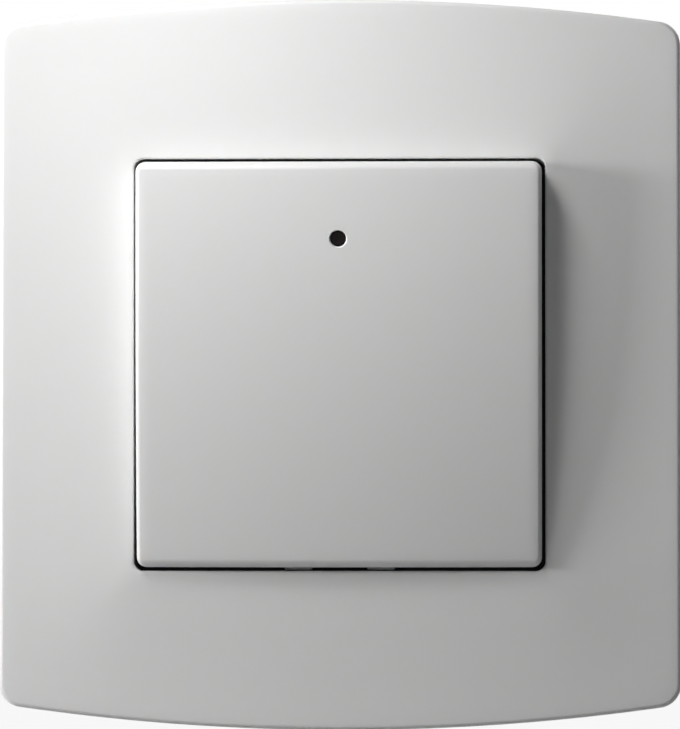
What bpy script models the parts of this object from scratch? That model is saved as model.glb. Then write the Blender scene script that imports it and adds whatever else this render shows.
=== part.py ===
"""Illuminated push button switch for a flush wall box, in metres, +Z up.

The wall is the plane y = 0. The switch faces -Y, and its mechanism stands behind the wall, on +Y.
The origin is on the wall, behind the middle of the surround plate. The button is shown at rest,
with its upper edge standing out and its lower edge in.
"""

import math

import bmesh
import bpy
from mathutils import Euler, Matrix, Vector

MM = 0.001

# Clearances
SEAT_GAP = 0.3 * MM
RUNNING_GAP = 0.2 * MM
OVERRUN = 1.0 * MM
JOIN = 0.4 * MM

# Surround plate
PLATE_SIDE_BORDER = 15.65 * MM
PLATE_END_BORDER = 18.4 * MM
PLATE_DEPTH = 7.5 * MM
PLATE_WALL = 1.7 * MM
PLATE_CORNER = 2.7 * MM
PLATE_CORNER_TAPER = 0.5
PLATE_BOW = 252.0 * MM
PLATE_EDGE_ROLL = 1.4 * MM
PLATE_FLARE = 0.6 * MM
PLATE_DRAFT = 0.25 * MM
COLLAR_WALL = 1.2 * MM
RIM_ROUND = 0.25 * MM
OPENING_CORNER = 1.1 * MM
CATCH_WIDTH = 5.0 * MM
CATCH_HEIGHT = 0.7 * MM
CATCH_LENGTH = 1.2 * MM
CATCH_RISE = 1.5 * MM
RIB_WIDTH = 1.0 * MM
RIB_BACK = -2.3 * MM
RIB_SPACING = 29.0 * MM
RIB_END_SHARE = 0.75

# Push button, measured in the frame of its hinge: x across, y into the wall, z up the face
KEY_SIZE = 45.0 * MM
KEY_WALL = 1.5 * MM
KEY_CORNER = 1.1 * MM
KEY_SMALLEST_CORNER = 0.25 * MM
KEY_EDGE_ROUND = 0.95 * MM
KEY_CROWN = 0.8 * MM
KEY_SKIRT = 6.2 * MM
KEY_PROUD = 3.5 * MM
KEY_RISE = 0.1 * MM
KEY_SIDE_GAP = 0.4 * MM
KEY_TOP_GAP = 0.3 * MM
KEY_BOTTOM_GAP = 0.85 * MM
REST_TILT = math.radians(3.5)
PRESS_SWING = math.radians(7.0)
HINGE_DEPTH = 6.0 * MM
LUG_WIDTH = 3.1 * MM
LUG_SPACING = 9.2 * MM
LUG_PROUD = 0.4 * MM
LUG_LENGTH = 2.6 * MM
LUG_FROM_BACK = 0.2 * MM
LUG_ROUND = 0.15 * MM
CLIP_WIDTH = 4.0 * MM
CLIP_SPACING = 14.0 * MM
CLIP_WALL = 1.2 * MM
CLIP_HOOK = 0.6 * MM
CLIP_HOOK_LENGTH = 0.8 * MM

# Indicator window in the button, and the lamp behind it
WINDOW_DIAMETER = 1.8 * MM
WINDOW_SHARE_FROM_TOP = 0.189
WINDOW_CHAMFER = 0.12 * MM
LENS_GAP = 0.08 * MM
LENS_RECESS = 0.35 * MM
LENS_DOME = 0.16 * MM
LENS_SHOULDER_SHARE = 0.7
LENS_SHOULDER_DROP = 0.3
LENS_COLLAR_DIAMETER = 3.2 * MM
LENS_COLLAR_LENGTH = 0.9 * MM
LENS_STEM_DIAMETER = 2.2 * MM
LENS_STEM_END = 1.6 * MM
LENS_SOCKET_WALL = 0.8 * MM
LAMP_DIAMETER = 3.0 * MM
LAMP_LENGTH = 4.6 * MM
LAMP_RIM_DIAMETER = 3.8 * MM
LAMP_RIM_LENGTH = 0.9 * MM
LAMP_TOP_DEPTH = 6.2 * MM
LAMP_LEG_LENGTH = 2.2 * MM
LAMP_LEG_SIZE = 0.5 * MM
LAMP_LEG_SPACING = 2.54 * MM

# Rocker carrier that the button clips on
CARRIER_BELOW_WINDOW = 3.1 * MM
CARRIER_THICKNESS = 2.0 * MM
CARRIER_CORNER = 1.0 * MM
HUB_HEIGHT = 4.6 * MM
HUB_BACK = 1.0 * MM
HUB_ROUND = 0.6 * MM
TRUNNION_DIAMETER = 3.0 * MM
TRUNNION_LENGTH = 2.2 * MM
ARM_WIDTH = 2.6 * MM
ARM_THICKNESS = 2.4 * MM
ARM_REACH = 8.8 * MM
SPRING_BELOW_WINDOW = 6.8 * MM
PEG_DIAMETER = 3.2 * MM
PEG_LENGTH = 1.5 * MM
PEG_TAPER = 0.8

# Return spring
SPRING_DIAMETER = 5.3 * MM
SPRING_WIRE = 0.5 * MM
SPRING_TURNS = 6.0
SPRING_POINTS_PER_TURN = 12
CLOSED_TURN_RISE = 1.15

# Mounting bridge, one sheet of steel
BRIDGE_SIDE_MARGIN = 2.9 * MM
BRIDGE_END_MARGIN = 5.65 * MM
BRIDGE_THICKNESS = 1.2 * MM
BRIDGE_CORNER = 4.0 * MM
SLOT_FROM_EDGE = 5.25 * MM
SLOT_WIDTH = 3.8 * MM
SLOT_LENGTH = 9.0 * MM
SLOT_END_SHARE = 0.49
CORNER_HOLE_DIAMETER = 3.2 * MM
CORNER_HOLE_FROM_EDGE = 7.25 * MM
TAB_WIDTH = 8.0 * MM
TAB_THICKNESS = 0.8 * MM
TAB_LIP = 0.7 * MM
BEAD_LENGTH = 11.0 * MM
BEAD_WIDTH = 2.2 * MM
BEAD_HEIGHT = 0.5 * MM
BEAD_FROM_EDGE = 8.4 * MM
BEAD_START = 8.0 * MM
BEAD_GROOVE_SHARE = 0.64

# Mechanism housing and its cover
HOUSING_IN_FROM_KEY = 2.5 * MM
HOUSING_DEPTH = 21.0 * MM
HOUSING_WALL = 1.6 * MM
HOUSING_CORNER = 2.5 * MM
HOUSING_BACK_CHAMFER = 1.4 * MM
FLANGE_PROUD = 2.4 * MM
FLANGE_THICKNESS = 1.4 * MM
WINDOW_CLEARANCE = 0.5 * MM
HOOK_WIDTH = 8.0 * MM
HOOK_PROUD = 1.2 * MM
HOOK_LENGTH = 2.4 * MM
GROOVE_WIDTH = 2.4 * MM
GROOVE_DEPTH = 0.4 * MM
GROOVE_START = 4.2 * MM
GROOVE_END = 17.6 * MM
GROOVE_PLACES = (-14.0 * MM, -9.0 * MM, 9.0 * MM, 14.0 * MM)
PANEL_DEPTH = 0.5 * MM
PANEL_MARGIN = 5.0 * MM
PANEL_HALF_HEIGHT = 4.2 * MM
PANEL_CORNER = 0.8 * MM
FUNNEL_DEPTH = 0.7 * MM
COVER_THICKNESS = 1.5 * MM
COVER_IN_FROM_KEY = 2.3 * MM
COVER_CORNER = 2.5 * MM
EAR_THICKNESS = 2.2 * MM
EAR_HALF_HEIGHT = 3.2 * MM
EAR_ABOVE_PIN = 2.0 * MM
EAR_ROUND = 0.8 * MM
MOUTH_SHARE = 0.82
CUP_WALL = 0.8 * MM
CUP_BOTTOM = 4.0 * MM
SPRING_PLAY = 0.5 * MM
STOP_WIDTH = 3.0 * MM
STOP_HEIGHT = 2.4 * MM
STOP_IN_FROM_CARRIER = 2.2 * MM
STOP_SPACING = 18.0 * MM
LEG_WIDTH = 5.0 * MM
LEG_THICKNESS = 1.2 * MM
LEG_REACH = 6.0 * MM
LEG_NOSE = 1.0 * MM
LEG_NOSE_LENGTH = 1.6 * MM
LEG_NOSE_FLAT = 0.64 * MM

# Terminals, contacts and the metal between them
CAGE_SIZE = 7.0 * MM
CAGE_TUNNEL = 3.8 * MM
CAGE_CHAMFER = 0.4 * MM
CAGE_FROM_FLOOR = 6.4 * MM
CAGE_FROM_SIDE_WALL = 6.4 * MM
CAGE_FROM_LOWER_WALL = 5.4 * MM
WIRE_HOLE_DIAMETER = 3.6 * MM
SCREW_DIAMETER = 2.6 * MM
SCREW_HEAD_DIAMETER = 4.4 * MM
SCREW_HEAD_HEIGHT = 1.3 * MM
SCREW_HEAD_FLAT_SHARE = 0.42
SCREW_HEAD_EDGE_SHARE = 0.25
SCREW_POINT_SHARE = 0.35
SCREW_POINT_DROP = 0.3
SCREW_SLOT_WIDTH = 0.7 * MM
SCREW_SLOT_DEPTH = 0.7 * MM
SCREW_BITE = 1.2 * MM
DRIVER_HOLE_DIAMETER = 3.8 * MM
STRIP_WIDTH = 3.2 * MM
STRIP_THICKNESS = 0.8 * MM
BLADE_CORNER = 0.8 * MM
BLADE_THICKNESS = 0.5 * MM
BLADE_ROOT_FROM_FLOOR = 3.9 * MM
BLADE_FRONT = -1.9 * MM
TIP_DIAMETER = 3.0 * MM
TIP_HEIGHT = 0.8 * MM
TIP_CROWN = 0.2 * MM
TIP_SHOULDER_SHARE = 0.3
TIP_SHOULDER_DROP = 0.36
CLOSED_GAP = 0.2 * MM

# Lamp board
BOARD_WIDTH = 18.0 * MM
BOARD_HEIGHT = 5.0 * MM
BOARD_THICKNESS = 1.0 * MM
BOARD_CORNER = 0.5 * MM
POST_WIDTH = 2.4 * MM
POST_SPACING = 14.0 * MM
RESISTOR_DIAMETER = 2.2 * MM
RESISTOR_LENGTH = 6.0 * MM
RESISTOR_CAP_SHARE = 0.22
RESISTOR_WAIST_SHARE = 0.42
RESISTOR_END_SHARE = 0.35
RESISTOR_WIRE = 0.6 * MM
RESISTOR_SPAN = 10.0 * MM
LEAD_DIAMETER = 0.9 * MM
LEAD_START_SPACING = 8.0 * MM
LEAD_DROP = 4.0 * MM
LOAD_LEAD_SAG = 1.5 * MM
LOAD_LEAD_LOOP = 7.0 * MM
NEUTRAL_LEAD_SAG = 2.0 * MM
NEUTRAL_LEAD_BEND = 1.0 * MM
NEUTRAL_LEAD_LOOP = 3.0 * MM
NEUTRAL_LEAD_END = 0.6 * MM

# Sizes and places that follow from those
PLATE_WIDTH = KEY_SIZE + 2 * PLATE_SIDE_BORDER
PLATE_HEIGHT = KEY_SIZE + 2 * PLATE_END_BORDER
BRIDGE_WIDTH = PLATE_WIDTH - 2 * BRIDGE_SIDE_MARGIN
BRIDGE_HEIGHT = PLATE_HEIGHT - 2 * BRIDGE_END_MARGIN
HOUSING_SIZE = KEY_SIZE - 2 * HOUSING_IN_FROM_KEY
FLANGE_SIZE = HOUSING_SIZE + 2 * FLANGE_PROUD
COVER_SIZE = KEY_SIZE - 2 * COVER_IN_FROM_KEY
PLATE_FRONT = -PLATE_DEPTH
HINGE_Y = -HINGE_DEPTH
KEY_FRONT = PLATE_FRONT - KEY_PROUD - HINGE_Y
KEY_INSIDE = KEY_FRONT + KEY_WALL
OPENING_HALF_WIDTH = KEY_SIZE / 2 + KEY_SIDE_GAP
OPENING_TOP = KEY_RISE + KEY_SIZE / 2 + KEY_TOP_GAP
OPENING_BOTTOM = KEY_RISE - KEY_SIZE / 2 - KEY_BOTTOM_GAP
WINDOW_Z = KEY_RISE + KEY_SIZE * (0.5 - WINDOW_SHARE_FROM_TOP)
BRIDGE_FRONT = -BRIDGE_THICKNESS
FLANGE_BACK = BRIDGE_FRONT - SEAT_GAP
FLANGE_FRONT = FLANGE_BACK - FLANGE_THICKNESS
COVER_BACK = FLANGE_FRONT - SEAT_GAP
COVER_FRONT = COVER_BACK - COVER_THICKNESS
COLLAR_BACK = BRIDGE_FRONT - SEAT_GAP
HOUSING_INSIDE = HOUSING_SIZE / 2 - HOUSING_WALL
HOUSING_FLOOR = HOUSING_DEPTH - HOUSING_WALL
CAGE_HEIGHT = CAGE_FROM_LOWER_WALL - HOUSING_INSIDE
CAGE_DEPTH = HOUSING_FLOOR - CAGE_FROM_FLOOR
BLADE_ROOT_DEPTH = HOUSING_FLOOR - BLADE_ROOT_FROM_FLOOR
TERMINAL_SPACING = HOUSING_INSIDE - CAGE_FROM_SIDE_WALL
CARRIER_WIDTH = 2 * TERMINAL_SPACING + ARM_WIDTH
CARRIER_HEIGHT = 2 * (WINDOW_Z - CARRIER_BELOW_WINDOW)
CARRIER_FRONT = KEY_INSIDE + KEY_CROWN * (CARRIER_HEIGHT / KEY_SIZE) ** 2 + SEAT_GAP
CARRIER_BACK = CARRIER_FRONT + CARRIER_THICKNESS
STOP_PLACE = CARRIER_HEIGHT / 2 - STOP_IN_FROM_CARRIER
SPRING_HEIGHT = WINDOW_Z - SPRING_BELOW_WINDOW
CONTACT_X = -TERMINAL_SPACING
ARM_TIP_Y = HINGE_Y + ARM_REACH * math.cos(REST_TILT)
ARM_TIP_UNDERSIDE = ARM_REACH * math.sin(REST_TILT) - ARM_THICKNESS / 2
BLADE_TOP = ARM_TIP_UNDERSIDE - SEAT_GAP
BLADE_MIDDLE = BLADE_TOP - BLADE_THICKNESS / 2
BLADE_BOTTOM = BLADE_TOP - BLADE_THICKNESS
BLADE_REACH = BLADE_ROOT_DEPTH - ARM_TIP_Y
BLADE_RATIO = ARM_REACH / BLADE_REACH
CONTACT_Y = BLADE_FRONT + TIP_DIAMETER / 2 + SEAT_GAP
CONTACT_TRAVEL = (BLADE_ROOT_DEPTH - CONTACT_Y) * math.sin(PRESS_SWING * BLADE_RATIO)
MOVING_TIP_END = BLADE_BOTTOM - SEAT_GAP - TIP_HEIGHT
FIXED_TIP_TOP = MOVING_TIP_END - CONTACT_TRAVEL - CLOSED_GAP
LOAD_SHELF_TOP = FIXED_TIP_TOP - TIP_HEIGHT - SEAT_GAP
TONGUE_Z = CAGE_HEIGHT + CAGE_TUNNEL / 2 - SEAT_GAP - STRIP_THICKNESS / 2
BOARD_FRONT = LAMP_LENGTH + LAMP_LEG_LENGTH - LAMP_TOP_DEPTH + SEAT_GAP
BOARD_BACK = BOARD_FRONT + BOARD_THICKNESS

# Steps round curves
OUTLINE_CORNER_STEPS = 5
OUTLINE_END_STEPS = 12
OUTLINE_SIDE_STEPS = 8
ROLL_STEPS = 4
ROUND_STEPS = 3
PLATE_FACE_SHARES = (0.3, 0.6, 0.85)
PLATE_INSIDE_SHARES = (1.0, 0.6, 0.0)
KEY_FACE_SHARES = (0.75, 0.5, 0.25)
KEY_HOLLOW_SHARES = (0.6, 0.3)
CROWN_FLAT_SHARE = 0.08
CIRCLE_STEPS = 24
SMALL_CIRCLE_STEPS = 16
AXIS_MARK_SIZE = 5.0 * MM


for old in list(bpy.data.objects):
    bpy.data.objects.remove(old, do_unlink=True)

switch = bpy.data.collections.new("illuminated_push_button_switch")
cutters = bpy.data.collections.new("cutters")
cutters.hide_render = True
bpy.context.scene.collection.children.link(switch)
bpy.context.scene.collection.children.link(cutters)


def finish(name, colour, roughness, metallic=0.0):
    """A Principled material of one colour."""
    material = bpy.data.materials.new(name)
    material.use_nodes = True
    shader = material.node_tree.nodes["Principled BSDF"]
    shader.inputs["Base Color"].default_value = (*colour, 1.0)
    shader.inputs["Roughness"].default_value = roughness
    shader.inputs["Metallic"].default_value = metallic
    material.diffuse_color = (*colour, 1.0)
    return material


plate_plastic = finish("white_moulded_plastic", (0.86, 0.86, 0.85), 0.28)
button_plastic = finish("button_plastic", (0.85, 0.85, 0.84), 0.25)
carrier_plastic = finish("carrier_plastic", (0.80, 0.80, 0.77), 0.45)
cover_plastic = finish("cover_plastic", (0.62, 0.63, 0.62), 0.45)
housing_plastic = finish("housing_plastic", (0.30, 0.31, 0.32), 0.5)
zinc_plated_steel = finish("zinc_plated_steel", (0.62, 0.63, 0.65), 0.35, 1.0)
screw_steel = finish("screw_steel", (0.58, 0.59, 0.60), 0.32, 1.0)
spring_steel = finish("spring_steel", (0.5, 0.5, 0.5), 0.3, 1.0)
brass_strip = finish("brass_strip", (0.80, 0.62, 0.30), 0.35, 1.0)
cage_brass = finish("cage_brass", (0.78, 0.63, 0.36), 0.4, 1.0)
blade_bronze = finish("blade_bronze", (0.74, 0.47, 0.26), 0.35, 1.0)
contact_silver = finish("contact_silver", (0.85, 0.85, 0.83), 0.25, 1.0)
smoked_lens = finish("smoked_lens", (0.03, 0.006, 0.005), 0.15)
lamp_plastic = finish("lamp_plastic", (0.75, 0.16, 0.04), 0.15)
board_laminate = finish("board_laminate", (0.05, 0.22, 0.10), 0.5)
resistor_coat = finish("resistor_coat", (0.55, 0.42, 0.25), 0.45)
lead_cover = finish("lead_cover", (0.05, 0.05, 0.05), 0.5)


def place(name, mesh, material, parent=None):
    """A named object of the switch, holding a mesh made in its parent's frame."""
    obj = bpy.data.objects.new(name, mesh)
    switch.objects.link(obj)
    obj.parent = parent
    if material:
        mesh.materials.append(material)
    return obj


def helper(name, mesh, parent=None):
    """A shape that is only cut from, or joined to, a part."""
    obj = bpy.data.objects.new(name, mesh)
    cutters.objects.link(obj)
    obj.parent = parent
    obj.hide_render = True
    obj.display_type = "WIRE"
    return obj


def combine(obj, other, operation):
    """Adds an exact Boolean with a helper shape to an object."""
    boolean = obj.modifiers.new(other.name, "BOOLEAN")
    boolean.operation = operation
    boolean.solver = "EXACT"
    boolean.object = other


def cut(obj, other):
    combine(obj, other, "DIFFERENCE")


def join(obj, other):
    combine(obj, other, "UNION")


def mesh_from(bm, name):
    """Turns a closed bmesh into a mesh with its faces pointing out."""
    bmesh.ops.recalc_face_normals(bm, faces=bm.faces)
    mesh = bpy.data.meshes.new(name)
    bm.to_mesh(mesh)
    bm.free()
    return mesh


def block(name, low, high, rounding=0.0, along=None, steps=3):
    """A box between two corners. Edges along one axis, or all edges, may be rounded."""
    low = Vector(low)
    high = Vector(high)
    bm = bmesh.new()
    bmesh.ops.create_cube(bm, size=1.0)
    bmesh.ops.scale(bm, vec=high - low, verts=bm.verts)
    bmesh.ops.translate(bm, vec=(low + high) / 2, verts=bm.verts)
    if rounding:
        edges = list(bm.edges)
        if along is not None:
            edges = [e for e in edges if abs((e.verts[0].co - e.verts[1].co)[along]) > rounding / 100]
        bmesh.ops.bevel(
            bm, geom=edges, offset=rounding, segments=steps, profile=0.5, affect="EDGES", clamp_overlap=True
        )
    return mesh_from(bm, name)


def rod(name, diameter, start, end, steps=CIRCLE_STEPS, end_diameter=None):
    """A cylinder, or a cone, between two points."""
    start = Vector(start)
    end = Vector(end)
    span = end - start
    bm = bmesh.new()
    bmesh.ops.create_cone(
        bm,
        cap_ends=True,
        segments=steps,
        radius1=diameter / 2,
        radius2=(end_diameter or diameter) / 2,
        depth=span.length,
    )
    turn = span.to_track_quat("Z", "Y").to_matrix().to_4x4()
    bmesh.ops.transform(bm, matrix=Matrix.Translation((start + end) / 2) @ turn, verts=bm.verts)
    return mesh_from(bm, name)


def skin(name, rings, closed):
    """A loft through rings of equally many points. A closed loft joins its last ring to its first."""
    bm = bmesh.new()
    rows = [[bm.verts.new(point) for point in ring] for ring in rings]
    pairs = list(zip(rows, rows[1:]))
    if closed:
        pairs.append((rows[-1], rows[0]))
    for lower, upper in pairs:
        count = len(lower)
        for i in range(count):
            j = (i + 1) % count
            bm.faces.new((lower[i], lower[j], upper[j], upper[i]))
    if not closed:
        bm.faces.new(rows[0])
        bm.faces.new(rows[-1])
    return mesh_from(bm, name)


def outline_end(half_width, end, corner, bow):
    """Points over one end of an outline, from its right side to its left, bowed outwards or straight."""
    if bow:
        centre = end - bow
        corner_z = centre + math.sqrt((bow - corner) ** 2 - (half_width - corner) ** 2)
        last_angle = math.atan2(corner_z - centre, half_width - corner)
    else:
        corner_z = end - corner
        last_angle = math.pi / 2
    right = []
    for i in range(OUTLINE_CORNER_STEPS + 1):
        angle = last_angle * i / OUTLINE_CORNER_STEPS
        right.append((half_width - corner + corner * math.cos(angle), corner_z + corner * math.sin(angle)))
    first_x = right[-1][0]
    middle = []
    for i in range(1, OUTLINE_END_STEPS):
        x = first_x * (1 - 2 * i / OUTLINE_END_STEPS)
        middle.append((x, centre + math.sqrt(bow**2 - x**2) if bow else end))
    left = [(-x, z) for x, z in reversed(right)]
    return right + middle + left


def outline(half_width, top, bottom, corner, bow=None):
    """Points (x, z) round a four-sided outline with rounded corners. Every outline has as many."""
    upper = outline_end(half_width, top, corner, bow)
    lower = [(-x, -z) for x, z in outline_end(half_width, -bottom, corner, bow)]
    points = list(upper)
    for i in range(1, OUTLINE_SIDE_STEPS):
        share = i / OUTLINE_SIDE_STEPS
        points.append((-half_width, upper[-1][1] * (1 - share) + lower[0][1] * share))
    points += lower
    for i in range(1, OUTLINE_SIDE_STEPS):
        share = i / OUTLINE_SIDE_STEPS
        points.append((half_width, lower[-1][1] * (1 - share) + upper[0][1] * share))
    return points


def bent_sheet(name, path, width, thickness, across):
    """A strip of sheet metal: an open surface along a bent path, given its thickness by Solidify.

    The path runs in the plane square to `across`, and the strip is centred on it.
    """
    across = Vector(across).normalized() * width
    bm = bmesh.new()
    points = [bm.verts.new(Vector(point) - across / 2) for point in path]
    edges = [bm.edges.new(pair) for pair in zip(points, points[1:])]
    swept = bmesh.ops.extrude_edge_only(bm, edges=edges)
    moved = [item for item in swept["geom"] if isinstance(item, bmesh.types.BMVert)]
    bmesh.ops.translate(bm, vec=across, verts=moved)
    mesh = bpy.data.meshes.new(name)
    bm.to_mesh(mesh)
    bm.free()
    obj = bpy.data.objects.new(name, mesh)
    solidify = obj.modifiers.new("thickness", "SOLIDIFY")
    solidify.thickness = thickness
    solidify.offset = 0.0
    solidify.use_even_offset = True
    return obj


def turned(name, profile, steps, place_at, points_to):
    """A turned shape: a profile of (radius, height) points, swept by a Screw modifier.

    Height runs along `points_to` from `place_at`, and the profile runs from top to bottom.
    """
    bm = bmesh.new()
    points = [bm.verts.new((radius, 0.0, height)) for radius, height in profile]
    for pair in zip(points, points[1:]):
        bm.edges.new(pair)
    mesh = bpy.data.meshes.new(name)
    bm.to_mesh(mesh)
    bm.free()
    obj = bpy.data.objects.new(name, mesh)
    obj.location = place_at
    obj.rotation_euler = Vector(points_to).to_track_quat("Z", "Y").to_euler()
    screw = obj.modifiers.new("turn", "SCREW")
    screw.steps = steps
    screw.render_steps = steps
    screw.use_merge_vertices = True
    screw.merge_threshold = 0.00001
    return obj


def axis_empty(name, location, tilt=0.0):
    """An empty on a joint's axis, which carries the pieces that turn on it."""
    empty = bpy.data.objects.new(name, None)
    empty.location = location
    empty.rotation_euler = Euler((tilt, 0.0, 0.0))
    empty.empty_display_size = AXIS_MARK_SIZE
    switch.objects.link(empty)
    return empty


def smooth(obj):
    """Smooth shading with sharp edges kept."""
    obj.data.shade_smooth()
    obj.data.set_sharp_from_angle(angle=math.radians(35))


# Surround plate: a shallow moulded shell with bowed ends, a hollowed face and a collar round the button


def plate_face_at(share):
    """Depth of the hollowed face, from the plate's outer edge (0) to the rim of its opening (1)."""
    return PLATE_FRONT + PLATE_FLARE * (1 - share**2)


def plate_outline(inset):
    return outline(
        PLATE_WIDTH / 2 - inset,
        PLATE_HEIGHT / 2 - inset,
        inset - PLATE_HEIGHT / 2,
        PLATE_CORNER - inset * PLATE_CORNER_TAPER,
        PLATE_BOW - inset,
    )


def opening_outline(outset):
    return outline(
        OPENING_HALF_WIDTH + outset,
        OPENING_TOP + outset,
        OPENING_BOTTOM - outset,
        OPENING_CORNER + outset,
    )


def between(outer, inner, share, depth):
    """A ring part of the way from an outer outline to an inner one."""
    ring = []
    for (x0, z0), (x1, z1) in zip(outer, inner):
        ring.append((x0 + (x1 - x0) * share, depth, z0 + (z1 - z0) * share))
    return ring


def plate_rings():
    """Rings from the back of the outer wall, over the face, down the collar and back inside."""
    rings = [[(x, 0.0, z) for x, z in plate_outline(0.0)]]
    for i in range(ROLL_STEPS + 1):
        angle = math.pi / 2 * i / ROLL_STEPS
        inset = PLATE_DRAFT + PLATE_EDGE_ROLL * (1 - math.cos(angle))
        below = PLATE_EDGE_ROLL * (1 - math.sin(angle))
        rings.append([(x, plate_face_at(0.0) + below, z) for x, z in plate_outline(inset)])
    outer = plate_outline(PLATE_DRAFT + PLATE_EDGE_ROLL)
    inner = opening_outline(RIM_ROUND)
    for share in PLATE_FACE_SHARES:
        rings.append(between(outer, inner, share, plate_face_at(share)))
    for i in range(ROUND_STEPS + 1):
        angle = math.pi / 2 * i / ROUND_STEPS
        outset = RIM_ROUND * (1 - math.sin(angle))
        below = RIM_ROUND * (1 - math.cos(angle))
        rings.append([(x, PLATE_FRONT + below, z) for x, z in opening_outline(outset)])
    rings.append([(x, COLLAR_BACK, z) for x, z in opening_outline(0.0)])
    rings.append([(x, COLLAR_BACK, z) for x, z in opening_outline(COLLAR_WALL)])
    outer = plate_outline(PLATE_WALL + PLATE_DRAFT)
    inner = opening_outline(COLLAR_WALL)
    for share in PLATE_INSIDE_SHARES:
        rings.append(between(outer, inner, share, plate_face_at(share) + PLATE_WALL))
    rings.append([(x, 0.0, z) for x, z in plate_outline(PLATE_WALL)])
    return rings


surround_plate = place("surround_plate", skin("surround_plate", plate_rings(), True), plate_plastic)
smooth(surround_plate)

CATCH_FRONT = COLLAR_BACK - CATCH_RISE - CATCH_LENGTH
CATCH_BACK = COLLAR_BACK - CATCH_RISE
SIDES = {
    "right": (Vector((1, 0, 0)), OPENING_HALF_WIDTH + COLLAR_WALL),
    "left": (Vector((-1, 0, 0)), OPENING_HALF_WIDTH + COLLAR_WALL),
    "top": (Vector((0, 0, 1)), OPENING_TOP + COLLAR_WALL),
    "bottom": (Vector((0, 0, -1)), COLLAR_WALL - OPENING_BOTTOM),
}


def at_side(outwards, distance, along, depth):
    """A point beside the collar: a distance outwards, a distance along that side, and a depth."""
    sideways = Vector((abs(outwards.z), 0, abs(outwards.x)))
    return outwards * distance + sideways * along + Vector((0, depth, 0))


def spanning(name, first, second, **kwargs):
    """A box between two opposite corners given in any order."""
    low = [min(a, b) for a, b in zip(first, second)]
    high = [max(a, b) for a, b in zip(first, second)]
    return block(name, low, high, **kwargs)


for side, (outwards, collar_face) in SIDES.items():
    catch = spanning(
        "plate_catch_" + side,
        at_side(outwards, collar_face - JOIN, -CATCH_WIDTH / 2, CATCH_FRONT),
        at_side(outwards, collar_face + CATCH_HEIGHT, CATCH_WIDTH / 2, CATCH_BACK),
    )
    join(surround_plate, helper("plate_catch_" + side, catch))


for side, (outwards, collar_face) in SIDES.items():
    edge = (abs(outwards.x) * PLATE_WIDTH + abs(outwards.z) * PLATE_HEIGHT) / 2
    for along in (-1, 1):
        middle = along * RIB_SPACING / 2
        rib = spanning(
            "plate_rib",
            at_side(outwards, collar_face - JOIN, middle - RIB_WIDTH / 2, PLATE_FRONT + PLATE_WALL - JOIN),
            at_side(outwards, edge - PLATE_WALL * RIB_END_SHARE, middle + RIB_WIDTH / 2, RIB_BACK),
        )
        join(surround_plate, helper(f"plate_rib_{side}_{along}", rib))


# Mounting bridge: one stamped sheet with box screw slots, a window, beads and four tabs bent forward


bridge = place(
    "mounting_bridge",
    block(
        "mounting_bridge",
        (-BRIDGE_WIDTH / 2, BRIDGE_FRONT, -BRIDGE_HEIGHT / 2),
        (BRIDGE_WIDTH / 2, 0.0, BRIDGE_HEIGHT / 2),
        rounding=BRIDGE_CORNER,
        along=1,
        steps=4,
    ),
    zinc_plated_steel,
)
window_half = HOUSING_SIZE / 2 + WINDOW_CLEARANCE
cut(
    bridge,
    helper(
        "bridge_window",
        block(
            "bridge_window",
            (-window_half, BRIDGE_FRONT - OVERRUN, -window_half),
            (window_half, OVERRUN, window_half),
            rounding=HOUSING_CORNER,
            along=1,
        ),
    ),
)

for side, (outwards, collar_face) in SIDES.items():
    edge = (abs(outwards.x) * BRIDGE_WIDTH + abs(outwards.z) * BRIDGE_HEIGHT) / 2
    slot_centre = outwards * (edge - SLOT_FROM_EDGE)
    sideways = Vector((abs(outwards.z), 0, abs(outwards.x)))
    slot = spanning(
        "bridge_slot_" + side,
        slot_centre - sideways * SLOT_LENGTH / 2 - outwards * SLOT_WIDTH / 2 + Vector((0, OVERRUN, 0)),
        slot_centre
        + sideways * SLOT_LENGTH / 2
        + outwards * SLOT_WIDTH / 2
        + Vector((0, BRIDGE_FRONT - OVERRUN, 0)),
        rounding=SLOT_WIDTH * SLOT_END_SHARE,
        along=1,
        steps=4,
    )
    cut(bridge, helper("bridge_slot_" + side, slot))
    for along in (-1, 1):
        bead_middle = outwards * (edge - BEAD_FROM_EDGE) + sideways * along * (BEAD_START + BEAD_LENGTH / 2)
        for shape, size, front, back in (
            ("ridge", 1.0, BRIDGE_FRONT - BEAD_HEIGHT, BRIDGE_FRONT + JOIN),
            ("groove", BEAD_GROOVE_SHARE, BRIDGE_FRONT - BEAD_HEIGHT + BRIDGE_THICKNESS, OVERRUN),
        ):
            half_width = BEAD_WIDTH * size / 2
            half_length = (BEAD_LENGTH - BEAD_WIDTH * (1 - size)) / 2
            bead = spanning(
                f"bridge_bead_{shape}",
                bead_middle - sideways * half_length - outwards * half_width + Vector((0, front, 0)),
                bead_middle + sideways * half_length + outwards * half_width + Vector((0, back, 0)),
                rounding=half_width * SLOT_END_SHARE * 2,
                along=1,
                steps=2,
            )
            combine(
                bridge,
                helper(f"bridge_bead_{shape}_{side}_{along}", bead),
                "UNION" if shape == "ridge" else "DIFFERENCE",
            )
    tab_face = collar_face + CATCH_HEIGHT + SEAT_GAP + TAB_THICKNESS / 2
    lip_depth = CATCH_FRONT - SEAT_GAP - TAB_THICKNESS / 2
    tab = bent_sheet(
        "bridge_tab_" + side,
        [
            at_side(outwards, tab_face, 0, BRIDGE_FRONT / 2),
            at_side(outwards, tab_face, 0, lip_depth),
            at_side(outwards, tab_face - TAB_THICKNESS / 2 - TAB_LIP, 0, lip_depth),
        ],
        TAB_WIDTH,
        TAB_THICKNESS,
        sideways,
    )
    cutters.objects.link(tab)
    tab.hide_render = True
    tab.display_type = "WIRE"
    join(bridge, tab)

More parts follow.
